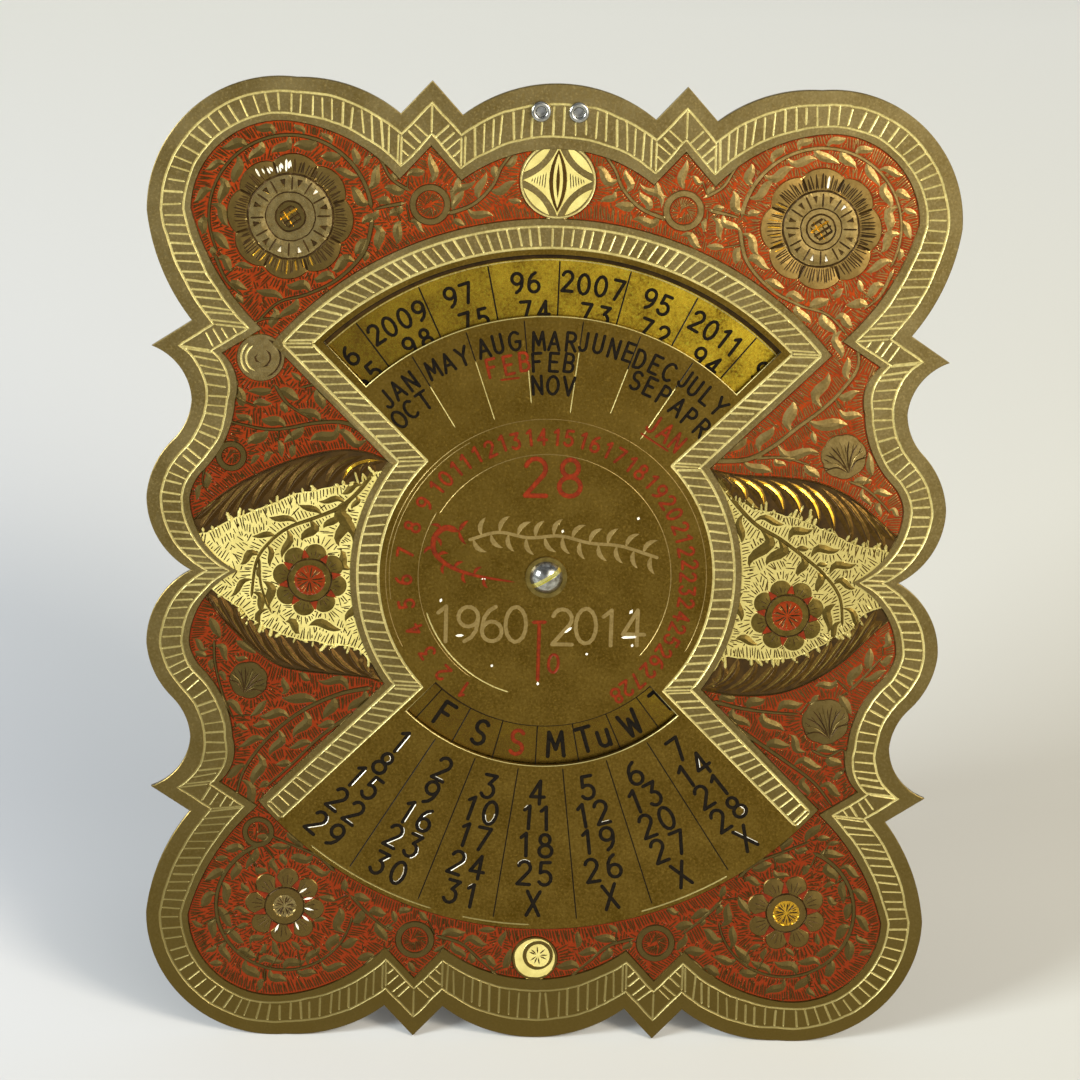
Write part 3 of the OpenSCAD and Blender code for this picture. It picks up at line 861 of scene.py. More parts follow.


# directions along which painted shade darkens the finishes, on the standing object
UP, ACROSS, RISING, ASLANT = (0.0, 0.0, 1.0), (1.0, 0.0, 0.0), (0.4, 0.0, 0.92), (0.75, 0.0, 0.66)
# each finish's painted shade darkens it where the standing calendar is lit less: lower down, to the lower
# left, or to one side
MATERIALS = {
    BRASS: surface("antique_brass", linear(149, 132, 86), linear(111, 93, 48), 1.0, 0.36, 7.0, 0.9, wear=0.35,
                   painted_shade=(linear(97, 80, 35), UP, 8, 100)),
    CENTRE: surface("handled_brass", linear(124, 100, 42), linear(88, 67, 18), 1.0, 0.35, 6.0, 1.0,
                    wear=0.35),
    RED: surface("red_lacquer", linear(166, 61, 8), linear(96, 32, 5), 0.0, 0.30, 2.6, 1.0, 0.0, 0.12,
                 painted_shade=(linear(112, 37, 7), RISING, 60, 150)),
    CREAM: surface("chased_ground", linear(220, 206, 126), linear(194, 178, 100), 0.4, 0.42, 3.0,
                   painted_shade=(linear(172, 156, 88), ACROSS, 50, 0)),
    BRIGHT: surface("bright_cut_and_highlight", linear(216, 202, 134), linear(160, 144, 84), 0.6, 0.42, 5.0, 1.0,
                    painted_shade=(linear(116, 102, 53), RISING, 10, 64)),
    BLACK: surface("black_fill_and_rim_shade", linear(12, 10, 8), linear(28, 22, 13), 0.0, 0.3, 1.0, 0.8, 0.0, 0.08),
    RED_FILL: surface("red_fill", linear(130, 42, 12), linear(84, 28, 9), 0.0, 0.35, 1.0, 0.8, 0.0, 0.12),
    GOLD: surface("polished_gold_and_highlight", linear(226, 178, 58), linear(190, 140, 36), 1.0, 0.25, 3.0),
    SHADE: surface("darkened_brass_and_shadow", linear(70, 50, 18), linear(46, 32, 12), 0.5, 0.45, 2.0, specular=0.2),
    PEWTER: surface("greyed_brass", linear(170, 150, 98), linear(122, 102, 58), 1.0, 0.30, 1.0, 0.9),
    WORN: surface("worn_lacquer", linear(170, 138, 82), linear(130, 95, 47), 0.9, 0.36, 2.0, 0.7, 0.0, 0.3,
                  painted_shade=(linear(72, 49, 20), ASLANT, 60, 130)),
    PETAL: surface("petal_brass", linear(172, 142, 80), linear(132, 104, 54), 1.0, 0.38, 1.2, 0.9,
                   painted_shade=(linear(100, 82, 42), ASLANT, 56, 112)),
    FEATHER: surface("browned_brass", linear(98, 72, 27), linear(60, 42, 14), 0.8, 0.42, 1.2, 0.8,
                     specular=0.2, painted_shade=(linear(64, 44, 15), ACROSS, -40, 10)),
    VINE: surface("chased_stem", linear(172, 148, 92), linear(120, 98, 52), 0.95, 0.46, 1.6, 0.9,
                  painted_shade=(linear(78, 65, 31), ASLANT, 60, 130)),
    FAINT: surface("rubbed_figure", linear(170, 147, 92), linear(132, 110, 60), 0.9, 0.40, 2.5, 1.0),
    OLIVE: surface("olive_brass", linear(114, 96, 44), linear(80, 65, 26), 0.9, 0.40, 1.4, 0.8, specular=0.2),
    GLINT: surface("chip_and_glint", linear(250, 246, 230), linear(226, 216, 186), 0.2, 0.3, 0.6),
}
# the dial's brass, with painted shade towards its lower left, which turns with the dial
DIAL_BRASS = surface("dial_brass", linear(255, 214, 60), linear(112, 82, 20), 1.0, 0.28, 5.0, 1.0, wear=0.3,
                     painted_shade=(linear(98, 74, 30), (0.7, 0.0, 0.7), 48, 106))
DIAL_MATERIALS = {**MATERIALS, BRASS: DIAL_BRASS}


def slotted(mat, centre, across, width, colour):
    """Shows brass in a plated screw's slot: within width of the plane through centre, square to across."""
    graph = Graph(mat)
    base = graph.nodes["Principled BSDF"].inputs["Base Color"]
    in_slot = graph.maths("COMPARE", graph.dot(graph.place(), across), across.dot(centre), width / 2)
    graph.put(graph.mix(in_slot, base.links[0].from_socket, colour), base)
    return mat


NICKEL = surface("nickel", linear(190, 190, 182), linear(150, 148, 138), 1.0, 0.2, 1.2)
SLOT_TURN = math.radians(33.0)      # the screw's slot, from the plate's x
SLOT_W = 0.7
SLOT_ACROSS = PLATE.to_3x3() @ Vector((-math.sin(SLOT_TURN), math.cos(SLOT_TURN), 0.0))
SCREW = slotted(surface("plated_screw", linear(196, 196, 188), linear(120, 116, 104), 1.0, 0.16, 0.8),
                PLATE.translation, SLOT_ACROSS, (SLOT_W + 0.06) * MM, linear(255, 246, 150))
WASHER = surface("worn_washer", linear(140, 122, 66), linear(100, 84, 40), 1.0, 0.35, 1.2)
PLAIN_BRASS = surface("plain_brass", linear(160, 132, 70), linear(132, 106, 52), 1.0, 0.36, 9.0, wear=0.3)
STEEL = surface("spring_steel", linear(120, 122, 124), linear(92, 92, 94), 1.0, 0.3, 3.0)


# ---------------------------------------------------------------- ornament
LEAF_HEIGHT, STEM_HEIGHT = 0.22, 0.24
SHRINK = (1.0, 0.85, 0.7, 0.55, 0.4)            # the sizes that a leaf on a stem is tried at


def leaf(sheet, base, tip, width, bow, label=VINE, belly=0.42):
    """A wavy raised leaf from base to tip, widest at belly of its length."""
    base, tip = np.array(base, float), np.array(tip, float)
    d = tip - base
    t = np.array([0, .1, .22, .36, .5, .64, .78, .9, 1.0])
    sway = bow * (np.sin(math.pi * t) * 0.8 + np.sin(2 * math.pi * t) * 0.55)
    p = base + d * t[:, None] + left_of(d) * sway[:, None]
    before, after = np.clip(t / belly, 0, 1), np.clip((t - belly) / (1 - belly), 0, 1)
    half = width / 2 * np.sin(math.pi / 2 * before) ** 0.9 * np.cos(math.pi / 2 * after) ** 0.9
    half[0] = half[-1] = 0.0
    sheet.ridges.append(Stroke(p, half, label, LEAF_HEIGHT * rng.uniform(0.8, 1.1), rng.uniform(0.2, 0.34)))


def clear(sheet, points, half, gap=0.15, own=None):
    """Whether a leaf along points would lie clear of the leaves and stems that are there."""
    others = [r for r in sheet.ridges if r is not own]
    if not others:
        return True
    p, h = np.concatenate([r.p for r in others]), np.concatenate([r.h for r in others])
    d = np.linalg.norm(points[:, None] - p[None], axis=2) - h[None]
    return not (d < half + gap).any()


FIELD_EDGE = outline(FIELD_AT, 0.7)
PANEL = hourglass(WAIST_R + BAND + RIM, LEG_OFF + BAND + RIM, TOP_R + BAND + RIM, DATE_R)


def filling(name, loop, label):
    """A sheet that fills a part of the carved field, its edge level with the plate."""
    sheet = Sheet(name, loop, [], POCKET_DEPTH, 0.0, bevel=0.02)
    sheet.floor = Area(loop, -FIELD_DEPTH, label)
    sheet.areas.append(sheet.floor)
    sheet.safe = inset(loop, 0.35)
    return sheet


def room(sheet, points):
    """Whether all the points lie on a filling, clear of its edge and its round ornaments."""
    points = np.atleast_2d(points)
    if not inside(points, sheet.safe).all():
        return False
    for p in sheet.patches:
        d = points - p.centre
        if (np.hypot(d[:, 0], d[:, 1]) < p.rim(np.arctan2(d[:, 0], d[:, 1])) + 0.25).any():
            return False
    return True


def vine(sheet, points, width=0.85, pitch=2.7, size=4.2, sides=(1, -1), spread=36, thick=1.7, label=VINE,
         smooth=True):
    """A stem with leaves that leave it on alternate sides, pointing along it."""
    p = curve(points) if smooth else np.asarray(points, float)
    q, w = tapered(p, np.linspace(width, width * 0.6, len(p)), 0.8)
    stem = Stroke(q, w / 2, label, STEM_HEIGHT, 1.5)
    sheet.ridges.append(stem)
    spots, side = along(p, pitch, phase=0.5)
    for k, (at, n) in enumerate(zip(spots, side)):
        s = sides[k % len(sides)]
        ahead = np.array([n[1], -n[0]])
        a = math.radians(spread + rng.uniform(-12, 12))
        length = size * rng.uniform(0.95, 1.45)
        for scale in SHRINK:
            tip = at + (ahead * math.cos(a) + n * s * math.sin(a)) * length * scale
            wide = thick * rng.uniform(0.75, 1.05) * (0.5 + 0.5 * scale)
            middle = (at + tip) / 2
            if room(sheet, [tip, middle]) and clear(sheet, np.array([middle, tip]), wide * 0.35, own=stem):
                leaf(sheet, at, tip, wide, rng.uniform(0.06, 0.24) * s, label, rng.uniform(0.35, 0.6))
                break


FILL_TRIALS, FILL_LENGTH, FILL_WIDTH = 6000, 4.0, 1.5       # the leaves that fill the room between vines


def fill_in(sheet):
    """Leaves where the vines left room, each on a thin stalk from the nearest stem."""
    stems = np.concatenate([r.p for r in sheet.ridges if len(r.p) > 9 and not r.closed])
    rings = [r.p for r in sheet.ridges if r.closed]
    low, high = sheet.edge.min(0), sheet.edge.max(0)
    for _ in range(FILL_TRIALS):
        middle = low + rng.random(2) * (high - low)
        in_ring = any(inside(middle[None], ring)[0] for ring in rings)
        if in_ring or not inside(middle[None], sheet.safe)[0]:
            continue
        near = stems[np.argmin(np.linalg.norm(stems - middle, axis=1))]
        away = middle - near
        far = float(np.hypot(*away))
        if not 1.4 < far < 5.5:
            continue
        turn = math.atan2(away[1], away[0]) + rng.choice((-1, 1)) * rng.uniform(0.2, 0.8)
        ahead = np.array([math.cos(turn), math.sin(turn)])
        for scale in (1.0, 0.75, 0.55):
            length, wide = FILL_LENGTH * scale, FILL_WIDTH * (0.4 + 0.6 * scale) * rng.uniform(0.8, 1.1)
            axis = middle + ahead * np.linspace(-0.5, 0.5, 7)[:, None] * length
            if room(sheet, axis) and clear(sheet, axis[1:-1], wide / 2, 0.3):
                leaf(sheet, axis[0], axis[-1], wide, rng.uniform(-0.22, 0.22), VINE, rng.uniform(0.35, 0.6))
                if np.linalg.norm(axis[0] - near) < 3.2:
                    sheet.ridge([near, axis[0] + ahead * 0.3], 0.34, 0.2, 1.5, VINE, tip=0.4)
                break


def flat(value):
    """The same height or finish all over a round ornament."""
    return lambda r, a: np.full(len(r), value)


def round_rim(r):
    """The edge of a plain disc."""
    return lambda a: np.full(np.shape(a), float(r))


def dished(r, drop):
    """The height of a boss that stands a little proud and falls by drop at its edge."""
    return lambda d, a: 0.02 - drop * (d / r) ** 2


def petal_rim(notch_r, r, count, turn):
    """The edge of a flower with round petals, notched between them down to notch_r."""
    return lambda a: notch_r + (r - notch_r) * np.abs(np.cos(count / 2 * (a - turn))) ** 0.5


def spokes(sheet, centre, r0, r1, count, width, label, depth, jitter, turn=0.0, tip=0.3):
    """Radial cuts round a centre."""
    for k in range(count):
        a = 360 * (k + turn + rng.uniform(-jitter, jitter)) / count
        out = r1 * (1 - rng.uniform(0, jitter) * 0.2)
        sheet.cut([polar(r0, a, centre), polar(out, a, centre)], width, label, depth, tip=tip)


def rosette(sheet, centre, r, ring, face, highlight_at, gold_highlight_at):
    """The large flower of an upper corner: woven heart, ring of tabs, fluted petals round it.

    ring is the radius inside the petals and face the finish there. The last two give the angles between
    which flutes carry painted highlights: white ones, counted from -180 to 180, and golden ones, from 0 to
    360."""
    turn = rng.uniform(0, 0.5)
    heart, disc, petals, count = 2.3, ring - 2.8, ring + 0.15, 8

    def lobe(a):
        return np.abs(np.sin(count / 2 * (a - turn)))

    def rim(a):
        return r - 1.2 * (1 - lobe(a) ** 0.6)

    def height(d, a):
        z = np.where(d < heart, 0.0, -0.06)
        rounded = 0.02 - 0.12 * np.abs((d - ring + 1.45) / 1.3) ** 2
        z = np.where((d > disc) & (d < ring - 0.15), rounded, z)
        return np.where(d > petals, -0.24 + 0.24 * lobe(a) ** 0.7 * np.clip((d - ring - 0.15) / 1.8, 0, 1), z)

    def mark(d, a):
        return np.where(d > petals, PETAL, np.where(d < heart, VINE, face))

    circles = (2.2, 2.4, disc - 0.15, disc + 0.05, ring - 1.95, ring - 0.95, ring - 0.15, petals, 7.8, 8.7)
    sheet.patches.append(Patch(centre, rim, height, mark, circles, 0.35))
    for lean, wide in ((35, 0.42), (125, 0.26)):
        c, s = math.cos(math.radians(lean)), math.sin(math.radians(lean))
        for v in (-1.25, -0.4, 0.45, 1.3):
            u = math.sqrt(1.9 ** 2 - v * v) * rng.uniform(0.8, 1.0)
            ends = [(centre[0] + x * c - v * s, centre[1] + x * s + v * c) for x in (-u, u)]
            sheet.cut(ends, wide, GOLD if v == 0.45 else SHADE, 0.14, tip=0.2)
    for at, step, width, depth in ((2.35, 0.4, 0.3, 0.1), (disc, 0.5, 0.22, 0.1), (ring, 0.5, 0.34, 0.14)):
        sheet.groove(by_hand(circle(at, centre, step)), width, SHADE, depth)
    spokes(sheet, centre, disc + 0.15, ring - 0.2, 12, 0.3, SHADE, 0.1, 0.12)
    # painted white highlights on three of the tabs
    for k in range(12):
        a = 30 * (k + 0.5) + rng.uniform(-3, 3)
        tab = [polar(ring - 0.7, a - 4.4, centre), polar(ring - 0.7, a + 4.4, centre),
               polar(disc + 0.7, a, centre)]
        sheet.inlays.append(Area(tab, -0.2, GLINT if k in (1, 5, 6) else SHADE, 0.12))
    flutes = 112
    for k in range(flutes):
        a = 360 * (k + rng.uniform(-0.2, 0.2)) / flutes
        out = float(rim(math.radians(a))) - rng.uniform(0.7, 1.2)
        # painted golden and white highlights on the flutes within the given angles
        label = GOLD if k % 3 == 0 and gold_highlight_at[0] < a < gold_highlight_at[1] else SHADE
        start, wide, depth = ring + 0.2, rng.uniform(0.18, 0.26), 0.05
        if highlight_at[0] < (a + 180) % 360 - 180 < highlight_at[1] and rng.random() < 0.6:
            label, wide, depth = GLINT, rng.uniform(0.2, 0.42), 0.08
            start = ring + rng.uniform(0.3, 1.2)
        line = [polar(start, a, centre), polar(out, a + rng.uniform(-2, 2), centre)]
        sheet.cut(line, wide, label, depth)
    for k in range(count):
        a = 360 / count * k + math.degrees(turn)
        sheet.cut([polar(ring + 0.2, a, centre), polar(r - 1.0, a, centre)], 0.42, SHADE, 0.18)


def flower(sheet, centre, r, disc, heart, heart_label, turn, label=OLIVE):
    """A flower with round petals, a raised ring and a heart."""
    count = 8
    rim = petal_rim(disc + 0.35 * (r - disc), r, count, turn)

    def height(d, a):
        petal = np.abs(np.cos(count / 2 * (a - turn))) ** 0.7
        z = -0.2 + 0.2 * petal * np.clip((r - d) / (r - disc) * 2.2, 0, 1)
        return np.where(d < heart, -0.08, np.where(d < disc, 0.02, z))

    def mark(d, a):
        return np.where(d < heart, heart_label, label)

    circles = (heart, heart + 0.12, disc, disc + 0.15, (disc + r) / 2)
    sheet.patches.append(Patch(centre, rim, height, mark, circles, 0.3))
    sheet.groove(by_hand(circle(disc + 0.05, centre, 0.5), 0.04), 0.26, SHADE)
    for k in range(count):
        a = math.degrees(turn) + 360 * (k + 0.5) / count
        wedge = [polar(disc + 0.2, a - 12, centre), polar(disc + 0.2, a + 12, centre),
                 polar(disc + 0.8 * (r - disc), a, centre)]
        sheet.inlays.append(Area(wedge, -0.2, RED_FILL, 0.1))
        b = math.degrees(turn) + 360 * k / count
        for side in (-7, 0, 7):
            end = polar(r - 0.9 - abs(side) * 0.06, b + side * 1.4, centre)
            sheet.cut([polar(disc + 0.4, b + side, centre), end], 0.16, SHADE, 0.05)
    spokes(sheet, centre, 0.2, heart * 0.92, 9, 0.24, SHADE, 0.1, 0.3, tip=0.5)
    fine = WORN if heart_label == RED else SHADE
    spokes(sheet, centre, heart * 0.45, heart * 0.95, 17, 0.16, fine, 0.05, 0.4, 0.5)


def shell(sheet, centre, r, turn):
    """A bud like a shell: a round boss with cuts that fan out from one side."""
    rim = petal_rim(r * 0.93, r, 7, 0.3)
    sheet.patches.append(Patch(centre, rim, dished(r, 0.1), flat(VINE), (r * 0.5,), 0.4))
    root = polar(r * 0.75, turn + 180, centre)
    for k in range(-4, 5):
        a = turn + 17 * k
        length = r * (1.5 - 0.05 * abs(k) ** 1.5)
        sheet.cut(curve([root, polar(length * 0.55, turn + 12 * k, root), polar(length, a, root)], 0.6),
                  0.26, SHADE if k % 3 else VINE, 0.1, tip=0.9)
    for k in range(-4, 4):
        a = turn + 17 * k + 8.5
        sheet.cut([polar(r * 0.8, a, root), polar(r * 1.3, a, root)], 0.16, SHADE, 0.06, tip=0.5)


def boss(sheet, centre, r):
    """A round boss with curved cuts one inside the other."""
    sheet.patches.append(Patch(centre, round_rim(r), dished(r, 0.12), flat(PEWTER), (r * 0.35, r * 0.7), 0.4))
    for k, (q, a, b) in enumerate([(r * 0.82, 20, 160), (r * 0.6, 200, 330), (r * 0.4, 30, 170),
                                   (r * 0.8, 215, 320), (r * 0.22, 180, 330)]):
        sheet.cut(arc(q, a, b, centre, 0.5), 0.34, BRIGHT if k % 2 else SHADE, 0.12, tip=0.8)


def small_ring(sheet, centre, r, width):
    """A plain raised ring."""
    sheet.ridge(circle(r, centre, 0.5), width, 0.27, 1.6, VINE, closed=True)


class Hatching:
    """Short strokes on the floor of an area that never run into one another."""

    STEP = 0.2                      # how finely a stroke's way is tried, mm
    SHORTEST = 3                    # the fewest steps that make a stroke

    def __init__(self, sheet, area, pitch, width, label, height, gap):
        self.sheet, self.area, self.cell, self.gap = sheet, area, pitch * 0.8, gap
        self.width, self.label, self.height = width, label, height
        self.taken, self.middles, self.ways, self.strokes = {}, [], [], []

    def key(self, point):
        """The cell that a point lies in."""
        return int(point[0] // self.cell), int(point[1] // self.cell)

    def open_at(self, point, who):
        """Whether a point's cell is free, or taken by the stroke itself or its neighbours."""
        other = self.taken.get(self.key(point))
        return other is None or (other[:2] == who[:2] and abs(other[2] - who[2]) <= 1)

    def tried(self, starts, ways, steps):
        """The points that steps along the ways reach, and which of them lie on the bare floor."""
        points = starts[:, None] + ways[:, None] * steps[None, :, None]
        good = self.sheet.free(points.reshape(-1, 2), self.area, self.gap).reshape(points.shape[:2])
        return points, good

    def draw(self, line, who):
        """A stroke along a line, swelling from its start; its cells are taken."""
        for point in line:
            self.taken[self.key(point)] = who
        a, b = line[0], line[-1]
        half = self.width * rng.uniform(0.8, 1.15) / 2
        self.strokes.append(Stroke([a, a + (b - a) * 0.15, a + (b - a) * 0.8, b], [0, half, half * 0.85, 0],
                                   self.label, self.height, 1.5))
        self.middles.append((a + b) / 2)
        self.ways.append((b - a) / np.linalg.norm(b - a))

    def from_edges(self, edges, pitch, reach, lean):
        """Strokes that start along each edge, nearly square to it, until they meet something."""
        starts, ways, own = [], [], []
        for k, loop in enumerate(edges):
            q, n = along(loop, pitch, rng.random(), closed=True)
            for side in (1, -1):
                turn = side * (1 if k % 2 else -1) * lean + rng.normal(0, 0.06, len(q))
                way = side * turned(n, turn)
                starts.append(q + way * (self.gap + (self.area.wall if k == 0 else 0.0)))
                ways.append(way)
                own += [(k, side, i) for i in range(len(q))]
        steps = np.arange(0.0, reach, self.STEP)
        points, good = self.tried(np.concatenate(starts), np.concatenate(ways), steps)
        for who, line, ok in zip(own, points, good):
            limit = int(len(ok) * rng.uniform(0.6, 1.0))
            end = 0
            while end < limit and ok[end] and self.open_at(line[end], who):
                end += 1
            if end >= self.SHORTEST:
                self.draw(line[:end], who)

    def in_gaps(self, reach):
        """Strokes where the floor is still bare, along the strokes nearest to them."""
        axes = [np.arange(a, b, self.cell) + self.cell / 2
                for a, b in zip(self.sheet.edge.min(0), self.sheet.edge.max(0))]
        spots = np.stack(np.meshgrid(*axes), -1).reshape(-1, 2)
        spots = spots[self.sheet.free(spots, self.area, self.gap)]
        spots = np.array([p for p in spots if self.open_at(p, (-1, 0, 0))])
        if not len(spots):
            return
        middles = np.array(self.middles)[None]
        near = np.concatenate([np.argmin(((part[:, None] - middles) ** 2).sum(2), 1)
                               for part in np.array_split(spots, max(1, len(spots) // 400))])
        ways = turned(np.array(self.ways)[near], rng.normal(0, 0.1, len(spots)))
        steps = np.arange(-reach * 0.4, reach * 0.4, self.STEP)
        points, good = self.tried(spots, ways, steps)
        middle = int(np.argmin(np.abs(steps)))
        for k in rng.permutation(len(spots)):
            who = (-2, 0, 3 * int(k))
            ok = [bool(good[k, i]) and self.open_at(points[k, i], who) for i in range(len(steps))]
            if not ok[middle]:
                continue
            first = last = middle
            while first > 0 and ok[first - 1]:
                first -= 1
            while last < len(steps) - 1 and ok[last + 1]:
                last += 1
            if last - first >= self.SHORTEST:
                self.draw(points[k, first:last + 1], who)


def fringe(sheet, area, pitch, width, reach, label, height, gap, cuts=False, lean=0.2):
    """Hatches the floor of an area: raised strokes, or cuts, square to every edge and in the gaps left."""
    edges = [area.loop] + [p.loop() for p in sheet.patches]
    if area is not sheet.floor:
        edges.append(inset(sheet.edge, 0.05))
    for ridge in sorted(sheet.ridges, key=lambda r: -len(r.p)):
        edges += [loop for loop, _ in ridge.side_lines(ridge.h)]
    hatching = Hatching(sheet, area, pitch, width, label, height, gap)
    hatching.from_edges(edges, pitch, reach, lean)
    hatching.in_gaps(reach)
    if cuts:
        sheet.cuts += hatching.strokes
    else:
        sheet.ridges += hatching.strokes


# ---------------------------------------------------------------- the engraved front plate
def window(r0, r1, middle):
    """The outline of an arc window round the axis."""
    a, b = middle - WINDOW_HALF, middle + WINDOW_HALF
    return np.vstack([arc(r1, a, b, step=0.7), arc(r0, b, a, step=0.7)])


TICK_PITCH, ARC_TICK_PITCH, BAND_TICK_PITCH = 1.5, 1.58, 1.66   # on the edge's straights, arcs, and the band


def tick(sheet, a, b, spread, widths):
    """A tick cut by hand from near a to near b; spread is how unevenly it ends."""
    lo, hi = 0.04 + rng.normal(0, 0.03), 0.97 + rng.normal(0, spread)
    slip = (b - a)[::-1] * [1, -1] * rng.normal(0, 0.03)
    sheet.cut([a + (b - a) * lo, a + (b - a) * hi + slip], rng.uniform(*widths), BRIGHT, tip=0.25)


def ruled_border(sheet):
    """The two lines along the plate's edge and the ticks between them."""
    near, far = LINES_AT
    for at, width in ((near, 0.4), (far, 0.36)):
        sheet.groove(by_hand(outline(at, 0.8)), width, BRIGHT, 0.1)
    outer, inner = moved_corners(near), moved_corners(far)
    for i, bulge in enumerate(BULGES):
        k = (i + 1) % len(BULGES)
        if np.linalg.norm(outer[i] - inner[i]) > 1.12 * (far - near):
            sheet.cut([outer[i] * 0.97 + inner[i] * 0.03, outer[i] * 0.03 + inner[i] * 0.97], 0.34, BRIGHT)
        length = (np.linalg.norm(outer[k] - outer[i]) + np.linalg.norm(inner[k] - inner[i])) / 2
        count = max(1, int(round(length / ARC_TICK_PITCH)))
        t = (np.arange(count) + 0.5 + rng.uniform(-0.12, 0.12, count)) / count
        if abs(bulge) <= STRAIGHT:
            ends = square_ticks((outer[i], outer[k]), (inner[i], inner[k]), far - near)
        else:
            ends = zip(side_points(outer[i], outer[k], bulge, t), side_points(inner[i], inner[k], bulge, t))
        for a, b in ends:
            tick(sheet, a, b, 0.04, (0.26, 0.42))


def square_ticks(outer, inner, width):
    """Ticks across a straight band, square to it, each cut short by the line between the corners."""
    flip = np.linalg.norm(outer[1] - outer[0]) < np.linalg.norm(inner[1] - inner[0])
    (p, q), (r, s) = (inner, outer) if flip else (outer, inner)
    along_it = (q - p) / np.linalg.norm(q - p)
    across = left_of(along_it)
    across = across * np.sign(across @ (r - p))
    count = max(1, int(round(np.linalg.norm(q - p) / TICK_PITCH)))
    ticks = []
    for t in (np.arange(count) + 0.5 + rng.uniform(-0.12, 0.12, count)) / count:
        a = p + (q - p) * t
        length = width
        for corner, other in ((p, r), (q, s)):
            lean = (other - corner) @ along_it / max((other - corner) @ across, 1e-6)
            here = (a - corner) @ along_it
            if here * lean > 0 and abs(here) < abs(lean) * width:
                length = min(length, here / lean)
        if length > 0.3 * width:
            ends = (a, a + across * length * 0.96)
            ticks.append(ends[::-1] if flip else ends)
    return ticks


def band_ticks(sheet, inner, outer, places):
    """Ticks between two lines that run side by side, matched at a number of places along both."""
    inner, outer = (at_lengths(line, np.linspace(0, 1, len(line)), np.linspace(0, 1, places))
                    for line in (inner, outer))
    d = lengths_to((inner + outer) / 2)
    n = int(round(d[-1] / BAND_TICK_PITCH))
    for k in range(n):
        s = (k + 0.5 + rng.uniform(-0.1, 0.1)) * d[-1] / n
        tick(sheet, at_lengths(inner, d, s), at_lengths(outer, d, s), 0.03, (0.28, 0.44))


def panel_band(sheet):
    """The ruled band round the hourglass panel."""
    lines = []
    for out in (0, BAND):
        off, top, waist = LEG_OFF + out, TOP_R + out, WAIST_R + out
        corner, neck = on_leg(top, off, 1, 1), on_leg(waist, off, 1, 1)
        right = [np.array([corner, neck]),
                 arc(waist, bearing(neck), 180 - bearing(neck)),
                 np.array([on_leg(waist, off, 1, -1), on_leg(DATE_R - 0.8, off, 1, -1)])]
        lines.append((arc(top, -bearing(corner), bearing(corner)), right))
    (top_in, right_in), (top_out, right_out) = lines
    for flip in (1, -1):
        whole = [np.vstack(part) * [flip, 1] for part in (right_in, right_out)]
        for line in whole:
            sheet.cut(line, 0.42)
        for end in (0, -1):
            sheet.cut([line[end] for line in whole], 0.34)
        for k in range(3):
            a, b = right_in[k] * [flip, 1], right_out[k] * [flip, 1]
            if k:
                sheet.cut([a[0], b[0]], 0.3)
            band_ticks(sheet, a, b, 40)
    for line in (top_in, top_out):
        sheet.cut(line, 0.42)
    band_ticks(sheet, top_in, top_out, 60)


MONTHS = (                          # the name, its angle, its radius and its paint
    ("JAN", -38.9, 39.2, BLACK), ("OCT", -39.6, 35.4, BLACK), ("MAY", -25.7, 38.9, BLACK),
    ("AUG", -12.9, 39.3, BLACK), ("FEB", -11.6, 35.8, RED_FILL), ("MAR", 0.3, 38.9, BLACK),
    ("FEB", 0.3, 35.5, BLACK), ("NOV", 0.3, 31.8, BLACK), ("JUNE", 13.0, 39.3, BLACK),
    ("DEC", 25.0, 39.1, BLACK), ("SEP", 26.6, 35.5, BLACK), ("JULY", 38.3, 39.6, BLACK),
    ("APR", 39.8, 35.2, BLACK), ("JAN", 37.8, 30.7, RED_FILL),
)
MONTH_HEIGHT = 3.05
RED_RULES = (((33.5, -14.6), (33.3, -8.8)), ((28.3, 30.8), (28.7, 42.2)))       # under the leap years' months
DATE_ROWS = (36.8, 41.3, 46.0, 50.9, 56.2)
DATE_COLUMNS = (
    ("1", "8", "15", "22", "29"), ("2", "9", "16", "23", "30"), ("3", "10", "17", "24", "31"),
    ("4", "11", "18", "25", "X"), ("5", "12", "19", "26", "X"), ("6", "13", "20", "27", "X"),
    ("7", "14", "21", "28", "X"),
)
DATE_CHIP_GLINTS = (0.4, 0.4, 0.12, 0.1, 0.1, 0.06, 0.1)       # the share of each column's figure strokes with chipped paint and a painted white highlight
DATE_HEIGHT, X_HEIGHT = 4.15, 4.4
DATE_SLIP = 0.4                     # the dates stand this much further round than their columns


def calendar_figures(sheet):
    """Months over the waist, dates under it, and the lines between their columns."""
    for text, turn, r, label in MONTHS:
        figures(sheet, text, r, turn, MONTH_HEIGHT, label, 0.5, 1, 0.84)
    for ends in RED_RULES:
        sheet.cut([polar(r, a) for r, a in ends], 0.34, RED_FILL)
    # each column's share of strokes with chipped paint and a painted highlight
    for k, (column, wear) in enumerate(zip(DATE_COLUMNS, DATE_CHIP_GLINTS)):
        turn = 180 + (3 - k) * PITCH + DATE_SLIP
        for r, text in zip(DATE_ROWS, column):
            height = X_HEIGHT if text == "X" else DATE_HEIGHT
            figures(sheet, text, r, turn, height, BLACK, 0.62, -1, 0.88, 1.3, wear)
    for k in range(-3, 3):
        a = (k + 0.5) * PITCH
        sheet.cut([polar(32.7, 180 - a), polar(59.3, 180 - a + rng.normal(0, 0.3))], 0.2, BLACK, 0.06)
        sheet.cut([polar(42.6, a), polar(37.4 - abs(k % 2), a)], 0.2, BLACK, 0.05)
        sheet.cut([polar(37.6, a), polar(27.4 + 1.5 * abs(k % 2), a)], 0.15, BRIGHT, 0.04)
    # painted highlights along the edge of the red, under the dates
    for a, b in ((148, 163), (181, 192), (197, 219)):
        sheet.cut(arc(DATE_R - 0.75, a, b), 0.26, BRIGHT, 0.06)


